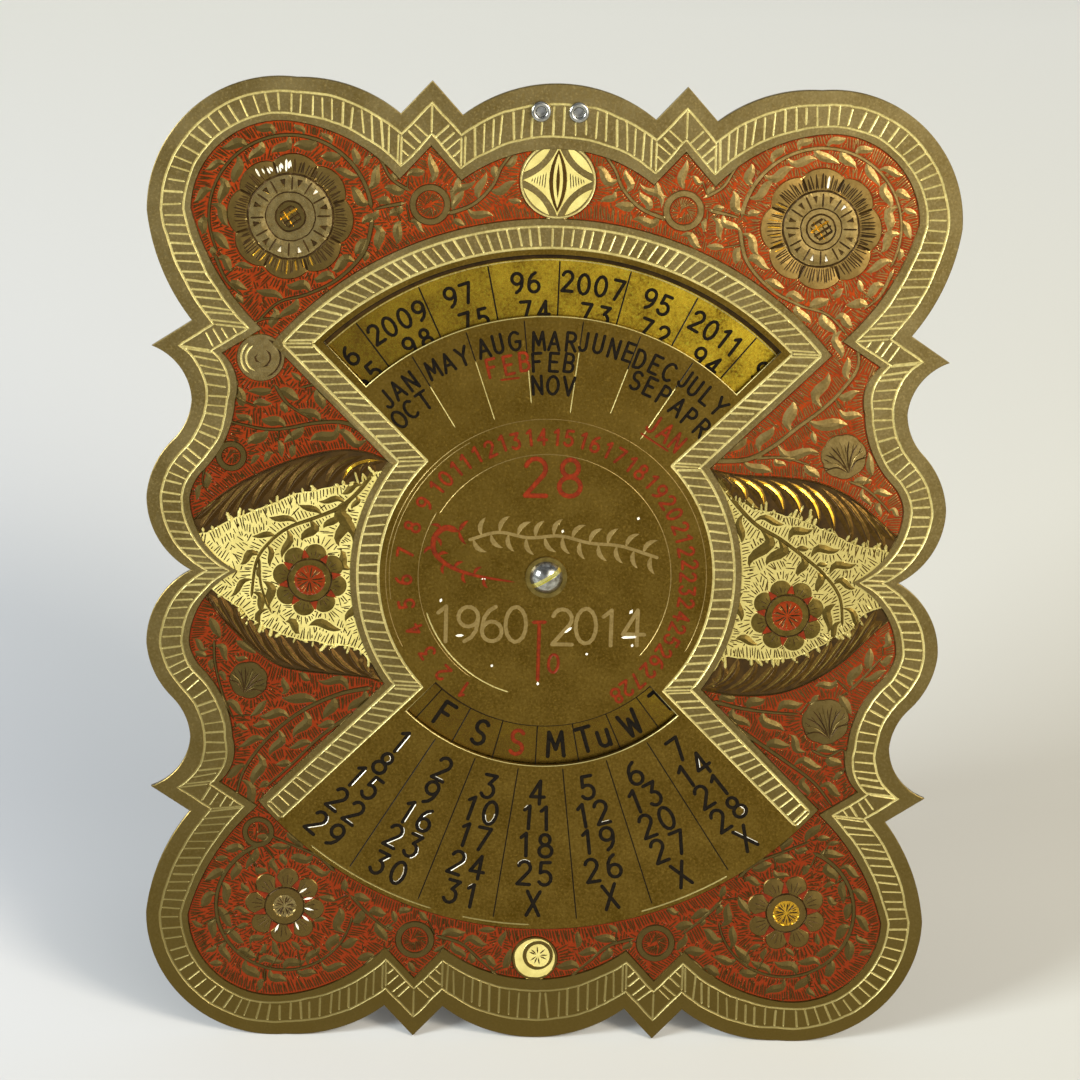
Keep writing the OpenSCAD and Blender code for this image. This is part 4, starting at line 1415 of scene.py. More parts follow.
NUMBERS_R, NUMBERS_TO = 23.3, 146   # the positions' numbers: their radius, and how far round they go each way
MIDDLE_LINES = (                    # radius, angles from and to, width and finish
    (26.2, -118, 118, 0.13, FAINT), (25.6, -100, -30, 0.12, FAINT), (20.4, -60, 130, 0.14, FAINT),
    (20.4, 196, 252, 0.22, BRIGHT), (20.9, 215, 300, 0.12, FAINT))
TENDRIL = ((-14.2, 7.2), (-16.6, 7.9), (-18.4, 6.2), (-18.2, 3.6), (-15.6, 1.4), (-11.5, 0.0), (-5.0, -1.0))
LAUREL = ((-12.6, 6.0), (-8, 7.3), (-3, 6.5), (2, 6.9), (7, 5.8), (12, 5.4), (18, 3.6))
GLINTING_CHIPS = (                           # where the surface is chipped, painted near white as a highlight: x, y, direction and length
    (3.2, -9.4, 0.9, 1.6), (-14.6, -10.2, 1.5, 1.4), (13.8, -6.0, 0.6, 1.0), (12.6, -10.0, 1.5, 2.6),
    (14.6, 9.8, 0.4, 0.6), (2.4, 7.4, 0.2, 0.6), (-10.6, -0.6, 1.3, 1.0), (-17.2, -4.6, 0.3, 0.7),
    (14.4, -11.6, 0.2, 0.6), (-0.9, -18.4, 0.1, 0.6), (6.8, -13.0, 1.2, 0.5), (-8.6, -15.4, 0.4, 0.5))


def plate_centre(sheet):
    """The round middle: the positions' numbers, a laurel sprig, a red tendril and the span of years."""
    for r, a, b, width, label in MIDDLE_LINES:
        sheet.cut(arc(r, a, b), width, label, 0.05)
    for k in range(POSITIONS):
        turn = -NUMBERS_TO + 2 * NUMBERS_TO * k / (POSITIONS - 1)
        figures(sheet, str(k + 1), NUMBERS_R, turn, 2.6, RED_FILL, 0.5, 1, 0.86)
    for c, x in zip(str(POSITIONS), (-3.0, 2.6)):
        written(sheet, c, (x + 0.8, 16.6), 6.4, 0.8, RED_FILL)
    tendril, laurel = curve(TENDRIL), curve(LAUREL)
    sheet.cut(tendril, np.linspace(1.1, 0.3, len(tendril)), RED_FILL, 0.1, 1.2, 1.2)
    # a painted white highlight along the red tendril
    sheet.cut(tendril[2:12] - [0.25, 0.1], 0.3, GLINT, 0.05)
    mark_leaf(sheet, (-14.4, 7.2), (-12.9, 9.2), 0.7, RED_FILL, 0.1)
    mark_leaf(sheet, (-14.4, 7.4), (-13.2, 5.2), 0.6, RED_FILL, -0.1)
    sheet.punch(laurel, 0.55, FAINT, 0.02)
    for line, pitch, size, width, label, depth in (
            (laurel, 1.5, 2.5, 0.8, FAINT, 0.025), (tendril[4:-6], 1.7, 1.5, 0.6, RED_FILL, 0.1)):
        for k, (p, n) in enumerate(zip(*along(line, pitch, phase=0.4))):
            s = 1 if k % 2 else -1
            tip = p + (n * s * 1.1 + np.array([n[1], -n[0]]) * 0.6) * size
            mark_leaf(sheet, p, tip, width, label, 0.2 * s, depth)
    for year, x in ((FIRST_YEAR, -10.6), (LAST_YEAR, 8.7)):
        for k, c in enumerate(str(year)):
            written(sheet, c, (x + 3.9 * (k - 1.5), -8.2 + rng.normal(0, 0.15)), 6.2, 0.66, FAINT)
    sheet.cut([(-0.9, -7.6), (-0.9, -17.8)], 0.62, RED_FILL, 0.1, 1.2)
    sheet.cut([(-2.2, -7.7), (0.4, -7.6)], 0.62, RED_FILL, 0.1, 1.2)
    zero = [(1.6 + 0.8 * math.cos(t), -14.6 + 1.5 * math.sin(t)) for t in np.linspace(0, 5.8, 14)]
    sheet.groove(by_hand(zero, 0.04), 0.5, RED_FILL, 0.1)
    # chips painted near white, as highlights
    for x, y, turn, size in GLINTING_CHIPS:
        line = [(x, y), (x + size * math.sin(turn), y + size * math.cos(turn))]
        sheet.cut(line, 0.42, GLINT, 0.06, tip=0.4)


def written(sheet, character, centre, height, width, label):
    """An upright figure centred on a point."""
    for line in GLYPHS[character]:
        q = np.asarray(centre) + height * (np.array(line) - (0.3, 0.5)) * (1.05, 1.0)
        for part in split_line(q):
            sheet.punch(part, width, label, 0.08 if label == RED_FILL else 0.03)


def mark_leaf(sheet, base, tip, width, label, bow, depth=0.1):
    """A leaf cut into the sheet."""
    base, tip = np.array(base, float), np.array(tip, float)
    d = tip - base
    t = np.array([0, .12, .3, .5, .7, .88, 1.0])[:, None]
    p = base + d * t + left_of(d) * bow * 4 * t * (1 - t)
    half = width / 2 * np.array([0, .5, .9, 1, .8, .45, 0])
    sheet.cuts.append(Stroke(p, half, label, depth, 1.2))


def sprays(sheet, vines, flip=1):
    """Vines from a table of their points and what else vine takes, or (flip -1) their mirror images."""
    for points, *how in vines:
        vine(sheet, [(x * flip, y) for x, y in points], *how)


ROSETTE_AT = (42.3, 58.0)
UPPER_SPRAYS = (
    (((24, 60.6), (27, 60.0), (29.3, 59.4)), 0.8, 1.6, 2.6),
    (((29.2, 58), (30.6, 52.6), (34.6, 48.2), (39.5, 45.6), (44, 44.2), (47.4, 41)), 0.8, 2.2, 3.3),
    (((54.4, 52), (52.4, 47.6), (49.6, 45)), 0.7, 2.0, 3.0),
    (((17.6, 58.9), (13.4, 60.6), (10.4, 63.6), (8.8, 67), (5.6, 70.6), (2.4, 71.6)), 0.8, 2.2, 3.2),
    (((23.2, 62.4), (26.4, 64.4), (28.4, 67.6), (32, 71.4)), 0.7, 2.0, 2.8))
UPPER_LEAVES = (                    # base, tip, width and bow
    ((17.4, 62.6), (15.2, 65.0), 1.2, 0.2), ((20.0, 63.8), (20.4, 68.6), 1.4, 0.1),
    ((16.6, 60.6), (13.0, 64.6), 1.2, -0.2))


def upper_corners(sheet):
    """The rosettes with their wreaths, and the sprays beside the top medallion."""
    x, y = ROSETTE_AT
    rosette(sheet, (x, y), 9.8, 6.1, VINE, (2, 8), (235, 300))
    small_ring(sheet, (20.2, 60.4), 2.75, 1.15)
    rosette(sheet, (-x, y), 10.1, 6.75, PEWTER, (-40, 8), (150, 230))
    small_ring(sheet, (-20.2, 60.4), 2.75, 1.15)
    for flip in (1, -1):
        wreath = arc(12.9, flip * -84, flip * 118, (flip * x, y))
        vine(sheet, wreath, 0.8, 2.3, 3.5, (1, -1), 36, smooth=False)
        sprays(sheet, UPPER_SPRAYS, flip)
        for (bx, by), (tx, ty), width, bow in UPPER_LEAVES:
            leaf(sheet, (flip * bx, by), (flip * tx, ty), width, bow * flip)


def medallion(sheet):
    """The round inlay at the top: a four-pointed star, a pointed oval and four lens petals."""
    c = np.array([0.0, 64.7])
    r = 6.2
    sheet.patches.append(Patch(c, round_rim(r), flat(0.0), flat(BRASS), (), 0.4))
    sheet.groove(circle(r - 0.35, c, 0.5), 0.3, BRIGHT, 0.08)
    tips = [polar(r - 0.45, a, c) for a in (0, 90, 180, 270)]
    star = []
    for k in range(4):
        a, b = tips[k], tips[(k + 1) % 4]
        pull = c + (a + b - 2 * c) * 0.27
        t = np.linspace(0, 1, 9, endpoint=False)[:, None]
        star.append(a * (1 - t) ** 2 + pull * 2 * t * (1 - t) + b * t * t)
    sheet.inlays.append(Area(np.vstack(star), -0.07, CREAM, 0.08))
    for k in range(4):
        a = 45 + 90 * k
        lens(sheet, polar(4.75, a, c), 6.4, 1.5, a + 90, CREAM)
    lens(sheet, c, 10.4, 3.0, 0, FEATHER, 0.0)
    lens(sheet, c, 9.0, 1.7, 0, CREAM)
    lens(sheet, c, 6.0, 0.7, 0, FEATHER, 0.0)
    for side in (1, -1):
        for k in range(6):
            x = side * (1.9 + 0.42 * k)
            h = 1.3 * (1 - k / 7)
            sheet.cut([c + [x, h], c + [x + side * 0.2, -h]], 0.16, SHADE, 0.05)


def lens(sheet, centre, length, width, turn, label, level=-0.07):
    """A pointed oval inlay, turned clockwise from upright."""
    t = np.linspace(-1, 1, 9)
    half = width / 2 * (1 - t * t)
    p = np.vstack([np.c_[half, t * length / 2][::-1], np.c_[-half, t * length / 2][1:-1]])
    a = math.radians(turn)
    m = np.array([[math.cos(a), math.sin(a)], [-math.sin(a), math.cos(a)]])
    sheet.inlays.append(Area(np.asarray(centre) + p @ m.T, level, label, 0.07))


FLOWER_AT = (42.0, -57.3)
LOWER_SPRAYS = (
    (((31.2, -55.2), (28, -58.6), (24.4, -61.6)), 0.7, 2.0, 3.0),
    (((33.5, -51.4), (36.6, -48.6), (41, -46.6), (45.6, -44.6)), 0.7, 2.0, 3.0),
    (((16.8, -62.2), (12.4, -63.6), (9, -66.6), (5.4, -69.8)), 0.7, 2.1, 3.0),
    (((24, -64.4), (27.4, -66.6), (30.4, -69.8)), 0.7, 2.0, 2.8))


def lower_corners(sheet):
    """The flowers with their wreaths, and what fills the foot of the plate."""
    x, y = FLOWER_AT
    flower(sheet, (-x, y), 6.6, 3.2, 1.9, PEWTER, 0.1, PETAL)
    flower(sheet, (x, y), 6.7, 3.3, 2.2, GOLD, 0.3, PETAL)
    small_ring(sheet, (-46.5, -44.5), 2.2, 1.0)
    for a in (46, 70, 95, 120, 147, 196):      # painted white highlights between the left flower's petals
        sheet.cut([polar(3.3, a, (-x, y)), polar(4.9, a + 3, (-x, y))], 0.36, GLINT, 0.07, tip=0.7)
    for flip in (1, -1):
        small_ring(sheet, (flip * 20.2, -63.0), 2.75, 1.15)
        wreath = arc(11.4, flip * 20, flip * 262, (flip * x, y))
        vine(sheet, wreath, 0.8, 2.2, 3.3, (1, -1), 36, smooth=False)
        sprays(sheet, LOWER_SPRAYS, flip)
    c = np.array([0.0, -65.95])
    sheet.patches.append(Patch(c, round_rim(3.9), flat(0.0), flat(BRASS), (), 0.4))
    heart = c + [0.5, 0.55]
    for at, r, z, label in ((c, 3.5, -0.07, CREAM), (heart, 2.65, 0.0, BRASS), (heart, 2.05, -0.05, CREAM)):
        sheet.inlays.append(Area(by_hand(circle(r, at, 0.5), 0.05), z, label, 0.08))
    spokes(sheet, heart, 0.3, 1.7, 9, 0.24, SHADE, 0.06, 0.3, tip=0.5)


# Each band of feathers: its spine, towards the red, and its edge, towards the pale ground.
RIGHT_UPPER = (
    ((26.03, 18.62), (28, 18.0), (32, 17.5), (38, 17.3), (44, 16.5), (49, 14.4), (53.4, 11.0), (57.5, 7.4)),
    ((25.4, 18.0), (27.6, 16.4), (30.4, 13.6), (36, 11.7), (42, 10.3), (46, 8.6), (50, 6.8), (53, 5.9),
     (59, 5.0)))
RIGHT_LOWER = (
    ((26.03, -18.62), (29, -19.2), (33, -19.6), (39, -19.1), (44, -17.1), (49, -13.8), (53.4, -9.4),
     (56.6, -6.0)),
    ((25.4, -18.0), (28.2, -15.6), (30, -13.2), (36, -13.6), (42, -12.7), (46, -10.6), (50, -8.2),
     (53, -5.2), (58, -3.2)))
LEFT_UPPER = (
    ((-26.03, 18.62), (-29, 19.9), (-33, 20.4), (-38, 19.6), (-44, 17.6), (-50, 14.6), (-54.6, 11.2),
     (-57.8, 8.0)),
    ((-25.4, 18.0), (-28, 16.8), (-31, 15.2), (-35, 14.4), (-40, 13.3), (-45, 11.4), (-50, 9.2),
     (-54, 7.2), (-60, 5.6)))
LEFT_LOWER = (
    ((-26.03, -18.62), (-29, -17.6), (-35, -17.1), (-40, -16.6), (-44, -15.5), (-49, -11.8),
     (-53.2, -7.4), (-55.4, -4.4)),
    ((-25.4, -18.0), (-28.4, -15.2), (-31, -12.8), (-36, -12.2), (-40, -11.6), (-44, -10.2),
     (-48, -8.2), (-51.4, -5.2), (-56, -2.4)))


def spine_of(band):
    """The edge of a filling along a band of feathers, from the waist to the plate's side."""
    spine = curve(band[0], 0.6)
    spine = spine[inside(spine, FIELD_EDGE) & ~inside(spine, PANEL)]
    return np.vstack([nearest_on(PANEL, spine[0])[1], spine[1:-1], nearest_on(FIELD_EDGE, spine[-1])[1]])


def filling_loops():
    """The loops of the upper, right, lower and left parts of the carved field."""
    ru, rl, lu, ll = (spine_of(b) for b in (RIGHT_UPPER, RIGHT_LOWER, LEFT_UPPER, LEFT_LOWER))

    def ring(first, second):
        """Along the plate's edge from the spine first to the spine second, and back along the panel."""
        outside = between(FIELD_EDGE, first[-1], second[-1])
        within = between(PANEL, first[0], second[0])[::-1]
        return np.vstack([outside[:-1], second[::-1][:-1], within[:-1], first[:-1]])

    return ring(lu, ru), ring(ru, rl), ring(rl, ll), ring(ll, lu)


BARBS, BARB_WIDTH = 12, 1.9


def feathers(sheet, band, gold_highlight_span):
    """A band of long curved barbs that leave the spine along it and turn to the pale ground.

    The third argument is the part of the band, from 0 at the waist to 1, whose barbs carry a wide golden
    painted highlight along one side; elsewhere that highlight is a thin olive line."""
    spine, edge = curve(band[0], 0.3), curve(band[1], 0.3)

    def at(line, t):
        return line[int(round(np.clip(t, 0, 1) * (len(line) - 1)))]

    for k in range(-2, BARBS):
        t = (k + rng.uniform(-0.08, 0.08)) / BARBS
        start, end = at(spine, t), at(edge, t + 0.24)
        if t < 0:
            start = at(spine, 0) * 0.6 + at(edge, 0) * 0.4
        ahead = at(spine, max(t, 0) + 0.17) * 0.72 + end * 0.28
        u = np.linspace(0, 1, 11)[:, None]
        p = start * (1 - u) ** 2 + ahead * 2 * u * (1 - u) + end * u * u
        p = p[inside(p, inset(sheet.edge, 0.1))]
        if len(p) < 5:
            continue
        swell = np.interp(np.linspace(0, 1, len(p)), (0, .2, .55, .85, 1), (0, .55, 1, .7, 0))
        wide = BARB_WIDTH * rng.uniform(0.9, 1.1) * swell
        sheet.ridge(p, wide, 0.28, 0.42, FEATHER)
        side = normals(p) * (1 if band[0][1][0] < 0 else -1)
        sheet.cut(p[1:] + side[1:] * 0.05, 0.26, SHADE, 0.06, tip=1.5)
        # a painted highlight along one side of each barb: wide and golden in the lit part of the band, thin
        # and olive elsewhere
        highlight_at = p[1:-1] - side[1:-1] * 0.42 * wide[1:-1, None] / BARB_WIDTH
        lit = gold_highlight_span[0] <= t <= gold_highlight_span[1]
        sheet.cut(highlight_at, 0.46 if lit else 0.16, GOLD if lit else OLIVE, 0.05, tip=1.6)


# What stands on a pale ground: the flower's place and turn, stems (points, width, the sides that bear
# leaves) and paisleys (base, tip, bow and width).
LEFT_GROUND = (
    (-38.5, -1.3), 0.2,
    ((((-28.2, 17.2), (-31, 13.4), (-34, 10.8), (-38, 9), (-42, 7.4), (-45, 5), (-47.2, 1.6), (-48, -4.6)),
      0.75, (1, -1)),
     (((-46.8, 2.5), (-46.4, -2.4), (-44.6, -7.2)), 0.5, (-1,))),
    (((-35.0, 10.2), (-33.8, 4.4), 0.3, 1.9), ((-31.6, 12.4), (-31.6, 5.2), -0.25, 2.0),
     ((-38.6, -9.0), (-33.2, -9.6), 0.12, 1.5), ((-38.8, 8.8), (-39.8, 5.2), 0.3, 1.6),
     ((-42.4, -8.4), (-40.0, -10.4), 0.2, 1.4), ((-31.8, 0.6), (-33.6, 3.8), 0.2, 1.5),
     ((-31.4, -4.2), (-32.6, -8.2), 0.2, 1.4), ((-46.2, -1.6), (-45.0, -6.4), 0.2, 1.6)))
RIGHT_GROUND = (
    (39.8, -5.8), 0.5,
    ((((27.4, 17.2), (30.4, 13), (34, 9.4), (38, 7.1), (42, 4.2), (45.6, 1.2), (48.3, -2.6), (49, -7.6)),
      0.75, (1, -1)),),
    (((34.4, 9.0), (33.2, 2.2), 0.3, 1.9), ((37.6, 7.2), (36.0, 2.6), 0.3, 1.8),
     ((31.4, -10.0), (35.2, -10.8), 0.12, 1.4), ((47.8, -3.6), (46.6, -8.6), -0.2, 1.5),
     ((44.4, 1.6), (44.6, -1.8), 0.15, 1.4), ((41.6, 4.2), (41.2, 0.9), 0.2, 1.5),
     ((32.4, -2.0), (32.2, -7.0), -0.2, 1.5), ((31.2, 6.6), (31.4, 1.4), -0.2, 1.5),
     ((39.4, 6.8), (43.4, 8.9), 0.2, 1.4), ((43.2, 4.0), (48.0, 5.6), 0.2, 1.4),
     ((46.4, 1.2), (50.8, 3.2), 0.2, 1.3)))


def cartouche(sheet, upper, lower, flip, things, gold_highlight_span):
    """A side of the plate: the pale ground with its vine and flower, between bands of feathers."""
    loop = np.vstack([curve(upper[1], 0.6), curve(lower[1], 0.6)[::-1]])
    loop[:, 0] = np.where(np.abs(loop[:, 0]) < 27.0, loop[:, 0] - flip * 2.0, loop[:, 0])
    ground = Area(by_hand(loop, 0.12), -0.17, CREAM, 0.12)
    sheet.areas.append(ground)
    flower_at, turn, stems, paisleys = things
    flower(sheet, flower_at, 6.1, 3.5, 2.5, RED, turn)
    for base, tip, bow, wide in paisleys:
        leaf(sheet, base, tip, wide, bow, OLIVE)
    for points, width, sides in stems:
        vine(sheet, points, width, 2.1, 3.6, sides, 40, 1.3, OLIVE)
    fringe(sheet, ground, 0.56, 0.2, 2.6, FEATHER, 0.06, cuts=True, gap=0.14, lean=0.15)
    for band, lit in ((upper, gold_highlight_span), (lower, (2, 3))):
        feathers(sheet, band, lit)
    for band, pitch in ((upper, 0.75), (lower, 0.6)):
        spots, n = along(curve(band[1], 0.5), pitch, phase=0.3)
        for p, side in zip(spots[1:-1], n[1:-1]):
            away = side if (side[1] > 0) == (band is upper) else -side
            tip = p + away * rng.uniform(0.1, 1.0) ** 1.5 * 1.3 + rng.normal(0, 0.5, 2)
            if room(sheet, [p, tip]) and rng.random() < 0.8:
                sheet.ridge([p - away * 0.4, tip], rng.uniform(0.3, 0.6), 0.27, 1.5, CREAM, tip=0.3)


UPPER_VINES = (
    (((-28.4, 21.4), (-30.6, 23.6), (-33.6, 24.9), (-38, 24.7), (-45, 23.5), (-52.4, 24.8)),),
    (((-44.6, 31), (-42.4, 27.8), (-38, 25)), 0.7, 2.4, 3.6),
    (((-50.4, 31.6), (-50.6, 28.8), (-47, 27)), 0.6, 2.2, 3.0),
    (((-40.6, 30.4), (-37.6, 30.8), (-35.6, 28.0)), 0.6, 2.2, 3.0),
    (((-49.6, 39.6), (-46.6, 41.4), (-43.4, 41.6)), 0.6, 2.2, 3.0),
    (((-55.6, 17.4), (-56, 14.6), (-55.2, 13.2)), 0.5, 1.8, 2.0, (1, -1), 36, 1.2),
    (((26.6, 19.8), (32, 20.2), (36, 22.3), (40, 25.6), (44, 28.8), (47, 32), (49.4, 36), (48.6, 41)),
     0.95, 3.0, 5.2, (1, -1), 38, 2.0),
    (((33, 20.4), (38, 20.6), (42.6, 19.4)), 0.7, 2.4, 3.2),
    (((48.6, 17.0), (51.6, 15.8), (54.4, 13.4), (56.2, 11.4)), 0.6, 1.9, 2.6, (1, -1), 36, 1.3))
LOWER_VINES = (
    (((28, -20.6), (33, -21.8), (38, -22.4), (42.6, -22.6)), 0.8, 2.6, 3.6),
    (((31.4, -24.4), (36, -27.6), (41, -31), (45.6, -34.4), (49, -38.6)),),
    (((44.6, -28.6), (47.6, -29.8), (50.2, -28.6), (50.6, -31.6)), 0.6, 2.2, 2.8),
    (((50.6, -18.6), (53.4, -15.6), (56, -12.4)), 0.6, 2.2, 3.0),
    (((-28, -19.3), (-33.6, -20.6), (-39.6, -23.6), (-45, -28.2), (-49, -34), (-50.4, -39.4)),),
    (((-31, -23.6), (-36.6, -28), (-41, -32.6), (-45.6, -37)), 0.7, 2.5, 3.4),
    (((-54, -11.6), (-53.8, -15.6), (-52.6, -20.6), (-50.6, -25.4)), 0.6, 2.4, 3.2))


def side_fields(upper, lower):
    """Vines, buds and rings in the red ground on both sides, above and below the pale grounds."""
    boss(upper, (-46.8, 35.2), 3.9)
    shell(lower, (-48.3, -18.4), 3.2, 20)
    shell(upper, (47.8, 21.0), 3.8, -20)
    shell(lower, (47.0, -23.8), 4.0, -15)
    small_ring(upper, (-51.4, 19.0), 2.0, 1.1)
    sprays(upper, UPPER_VINES)
    sprays(lower, LOWER_VINES)


def worn_window(points):
    """The windows' rims: worn bright and given a painted highlight along their lower sides, which face the
    light, and painted shade in black along their upper sides.
    """
    r, y = np.hypot(points[:, 0], points[:, 1]), points[:, 1]
    upper = np.where(y > 0, r > sum(YEARS) / 2, (r < sum(DAYS) / 2) & (r > 10))
    return np.where(upper, BLACK, BRIGHT)


POCKET = Area(outline(FIELD_AT - 0.02, 0.7), 0.01 - POCKET_DEPTH, BRASS, 0.02, holes=[inset(PANEL, 0.02)])
HOLES = [window(*YEARS, 0.0), window(*DAYS, 180.0), circle(SCREW_HOLE_R, step=0.4),
         circle(RIVET[2], (RIVET[0], RIVET[1]), 0.3), circle(RIVET[2], (-RIVET[0], RIVET[1]), 0.3)]
plate = Sheet("front_plate_engraved", outline(0.0, 0.7), HOLES, PLATE_T, 0.0)
plate.areas.append(POCKET)
# painted highlight and painted shade on the windows' rims
plate.worn_edge = worn_window
plate.areas.append(Area(hourglass(WAIST_R, LEG_OFF, TOP_R, DATE_R), 0.0, CENTRE, 0.02))
ruled_border(plate)
panel_band(plate)
calendar_figures(plate)
plate_centre(plate)

top_loop, right_loop, foot_loop, left_loop = filling_loops()
field_top = filling("field_upper", top_loop, RED)
field_foot = filling("field_lower", foot_loop, RED)
upper_corners(field_top)
medallion(field_top)
lower_corners(field_foot)
side_fields(field_top, field_foot)
for sheet in (field_top, field_foot):
    fill_in(sheet)
    fringe(sheet, sheet.floor, 0.45, 0.26, 3.4, WORN, 0.07, gap=0.08)
right = filling("cartouche_right", right_loop, SHADE)
cartouche(right, RIGHT_UPPER, RIGHT_LOWER, 1, RIGHT_GROUND, (0.0, 0.42))
left = filling("cartouche_left", left_loop, SHADE)
cartouche(left, LEFT_UPPER, LEFT_LOWER, -1, LEFT_GROUND, (0.0, 0.06))
for sheet in (plate, field_top, field_foot, right, left):
    piece = sheet.build(MATERIALS)
    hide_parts("front_plate")
    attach(piece, "plate")


# ---------------------------------------------------------------- the dial
SEEN_YEARS = (("2009", "98"), ("97", "75"), ("96", "74"), ("2007", "73"), ("95", "72"), ("2011", "94"),
              ("93", "71"))         # the pairs that show at rest, clockwise
FIRST_AT = -31.3                    # where the first of the seen years stands, degrees
OUTER_YEAR = (48.3, 3.3, 0.0, 0.82)                     # radius, height, how much further round, spacing
INNER_YEAR = (43.7, 3.2, 1.6, 0.9)
YEAR_LINE = (40.4, 51.9)
WEEKDAYS = ("F", "S", "S", "M", "Tu", "W", "T")
RED_DAY = 2                         # the weekday that is red
WEEKDAY_AT, WEEKDAY_R = 33.6, 28.9
WEEKDAY_LINE = (24.6, 32.9)
DIAL_SHADOW_RADII = (52.75, 25.2)            # radii of the rings of painted shadow where the dial runs close under the windows' upper rims


def dial_years():
    """The two years of each of the dial's positions, clockwise; years that begin alike share a column."""
    waiting = {k: [] for k in range(7)}
    seen = {year for pair in SEEN_YEARS for year in pair}
    for year in range(FIRST_YEAR, LAST_YEAR + 1):
        name = str(year) if year >= 2000 else str(year - 1900)
        if name not in seen:
            waiting[(year + year // 4) % 7].append(name)
    pairs = list(SEEN_YEARS)
    for k in range(len(SEEN_YEARS), POSITIONS):
        names = waiting[(5 - k) % 7]
        pairs.append((names.pop() if names else "", names.pop() if names else ""))
    return pairs


dial = Sheet("dial_engraved", circle(DIAL_R, step=1.0), [circle(SCREW_HOLE_R, step=0.4)], DIAL_T, DIAL_Z)
for k, years in enumerate(dial_years()):
    turn = FIRST_AT + k * PITCH
    for text, (r, height, slip, spacing) in zip(years, (OUTER_YEAR, INNER_YEAR)):
        figures(dial, text, r, turn + slip, height, BLACK, 0.56, 1, spacing)
    dial.cut([polar(r, turn + PITCH / 2) for r in YEAR_LINE], 0.26, BLACK, 0.06)
for k in range(POSITIONS):
    turn, paint = 180 + WEEKDAY_AT - k * PITCH, RED_FILL if k % 7 == RED_DAY else BLACK
    figures(dial, WEEKDAYS[k % 7], WEEKDAY_R, turn, 4.3, paint, 0.68, -1, 0.7)
    dial.cut([polar(r, turn - PITCH / 2) for r in WEEKDAY_LINE], 0.2, BLACK, 0.05)
dial.groove(circle(YEAR_LINE[1]), 0.16, BRIGHT, 0.05)
# dark rings of painted shadow, as the windows' upper rims would cast on the dial
for r in DIAL_SHADOW_RADII:
    dial.groove(circle(r), 1.3, SHADE, 0.04)
dial_piece = dial.build(DIAL_MATERIALS, plain=CENTRE)
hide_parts("dial_disc")
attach(dial_piece, "dial")


# ---------------------------------------------------------------- fittings
FINISHES = (
    (SCREW, "pivot_screw"),
    (WASHER, "head_washer"),
    (NICKEL, "plate_rivet_left plate_rivet_right strut_rivet_left strut_rivet_right"),
    (PLAIN_BRASS, "spacer_washer rear_washer pivot_nut lock_nut fixed_leaf moving_leaf strut"),
    (STEEL, "spring_washer hinge_pin"),
    (MATERIALS[BRASS], "front_plate"),
    (DIAL_BRASS, "dial_disc"),
)
for finish, names in FINISHES:
    for name in names.split():
        ob = bpy.data.objects[name]
        if not ob.material_slots:
            ob.data.materials.append(finish)
        for slot in ob.material_slots:
            slot.material = finish


# ---------------------------------------------------------------- camera, floor and light
FOCAL_PX, FRAME_PX = 3200.0, 1080.0
SENSOR = 36.0
VIEW_TURN = (13.02, 2.449, -1.683)   # how the plate is turned towards the camera, degrees about x, y, z
VIEW_AT = (1.012, -6.028, -522.289)  # the dial's axis from the camera, mm

camera = added("camera", bpy.data.cameras.new("camera"))
camera.data.sensor_width = SENSOR
camera.data.lens = FOCAL_PX / FRAME_PX * SENSOR
tip, roll, lean = (Matrix.Rotation(math.radians(turn), 4, axis) for turn, axis in zip(VIEW_TURN, "XYZ"))
camera.matrix_world = PLATE @ (Matrix.Translation(Vector(VIEW_AT) * MM) @ lean @ tip @ roll).inverted()
bpy.context.scene.camera = camera


FLOOR_LEFT, FLOOR_RIGHT = linear(213, 214, 217), linear(214, 212, 199)
FLOOR_BANDS = (                     # where in m behind (+) or in front a tone starts and is full; paler behind as painted light, greyer just in front as painted shade
    (0.05, 0.6, linear(252, 252, 244)), (0.02, -0.25, linear(166, 166, 160)),
    (-0.3, -1.1, linear(246, 246, 240)))
FLOOR_HALF = 30                     # half the floor's width, m


def floor_material():
    """A pale floor: warmer to the right and cooler to the left; a little greyer in front as painted shade
    where the lamps light it most, paler behind as painted light, and pale far off.
    """
    mat = bpy.data.materials.new("pale_floor")
    graph = Graph(mat)
    shader = graph.nodes["Principled BSDF"].inputs
    shader["Roughness"].default_value = 0.85
    shader["Specular IOR Level"].default_value = 0.2
    at = graph.place()
    colour = graph.mix(graph.remap(graph.axis(at, "X"), -0.15, 0.15), FLOOR_LEFT, FLOOR_RIGHT)
    for start, full, tone_there in FLOOR_BANDS:
        colour = graph.mix(graph.remap(graph.axis(at, "Y"), start, full), colour, tone_there)
    graph.put(colour, shader["Base Color"])
    return mat


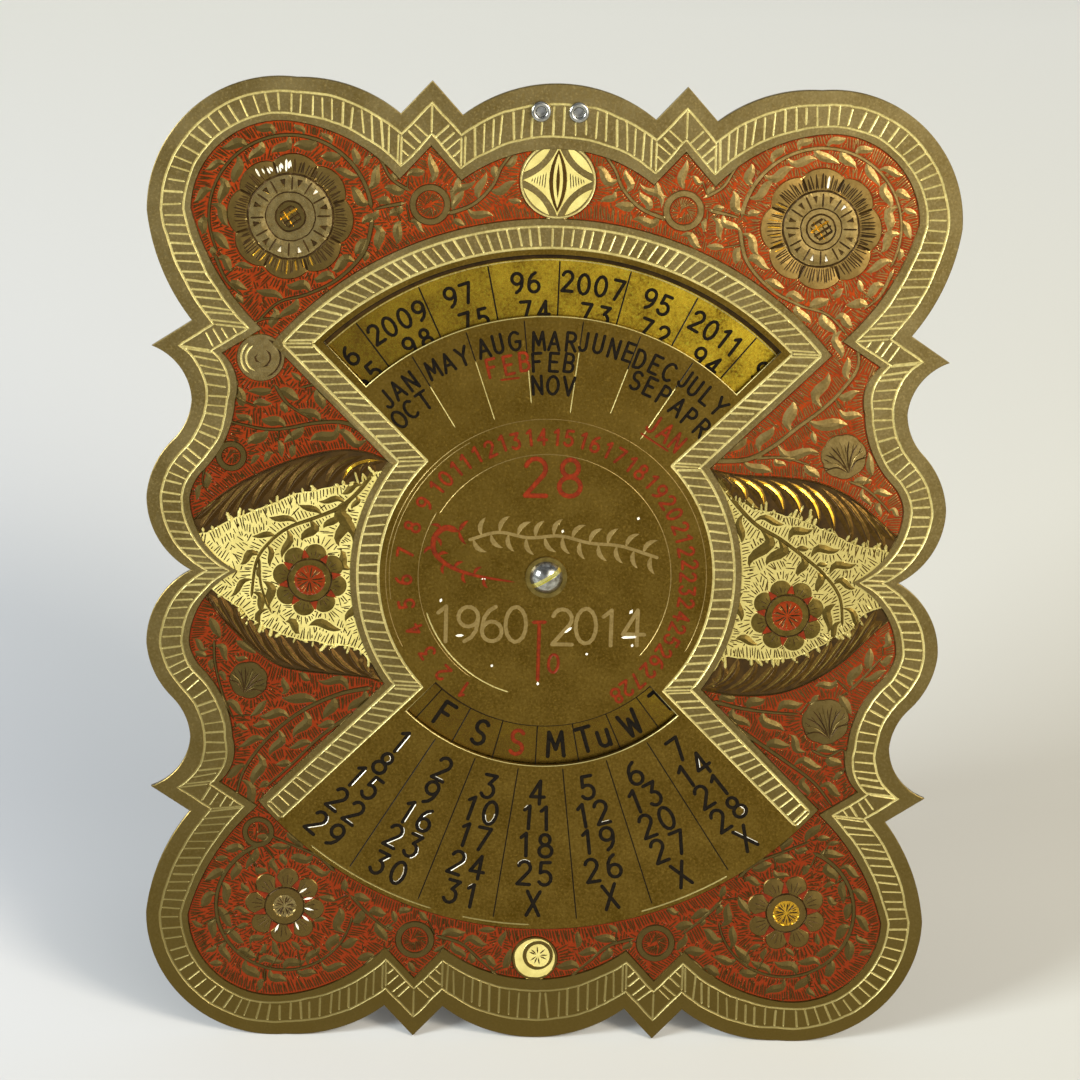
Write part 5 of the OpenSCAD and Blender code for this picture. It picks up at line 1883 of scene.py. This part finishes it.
floor_mesh = bpy.data.meshes.new("floor")
corners = [(x * FLOOR_HALF, y * FLOOR_HALF, 0) for x, y in ((-1, -1), (1, -1), (1, 1), (-1, 1))]
floor_mesh.from_pydata(corners, [], [(0, 1, 2, 3)])
floor_mesh.materials.append(floor_material())
floor = added("floor", floor_mesh)


ROOM_TINT = (0.97, 0.99, 1.03)
ROOM = ((-1.0, 0.16), (-0.02, 0.18), (0.04, 0.40), (0.16, 0.61), (0.4, 0.34), (1.0, 0.14))
GLOW_FROM, GLOW_REACH = (0.60, -0.72, 0.40), 38
GLOW_COLOUR = (2.4, 2.3, 2.06, 1.0)


def studio():
    """The room's light: a grey for each height of the direction (its z), and a soft glow from one side."""
    world = bpy.data.worlds.new("studio")
    bpy.context.scene.world = world
    graph = Graph(world)
    way = graph.place("Generated")
    ramp = graph.nodes.new("ShaderNodeValToRGB")
    graph.put(graph.remap(graph.axis(way, "Z"), -1.0, 1.0), ramp.inputs["Fac"])
    while len(ramp.color_ramp.elements) < len(ROOM):
        ramp.color_ramp.elements.new(0.5)
    for element, (z, grey) in zip(ramp.color_ramp.elements, ROOM):
        element.position = (z + 1) / 2
        element.color = [grey * tint for tint in ROOM_TINT] + [1.0]
    towards = graph.dot(way, Vector(GLOW_FROM).normalized())
    near = graph.remap(towards, math.cos(math.radians(GLOW_REACH)), 1.0, interpolation_type="SMOOTHSTEP")
    light = graph.mix(near, ramp.outputs["Color"], GLOW_COLOUR, "ADD")
    graph.put(light, graph.nodes["Background"].inputs["Color"])


studio()


LAMPS = (                           # name, size in m, power in W, place, colour
    ("key_right", 0.30, 6.9, (0.58, -0.60, 0.62), (1.0, 0.91, 0.78)),
    ("key_left", 0.33, 9.9, (-0.74, -0.46, 0.50), (0.88, 0.95, 1.0)),
    ("top", 0.9, 0.9, (0.0, 0.3, 1.2), (0.97, 0.98, 1.0)),
)
LIT_AT = Vector((0, 0, 0.08))       # where the lamps point, the middle of the calendar

for name, size, power, at, colour in LAMPS:
    light = added(name, bpy.data.lights.new(name, "AREA"))
    light.data.size = size
    light.data.energy = power
    light.data.color = colour
    light.location = at
    light.rotation_euler = (LIT_AT - Vector(at)).to_track_quat("-Z", "Y").to_euler()

bpy.context.scene.view_settings.view_transform = "Standard"
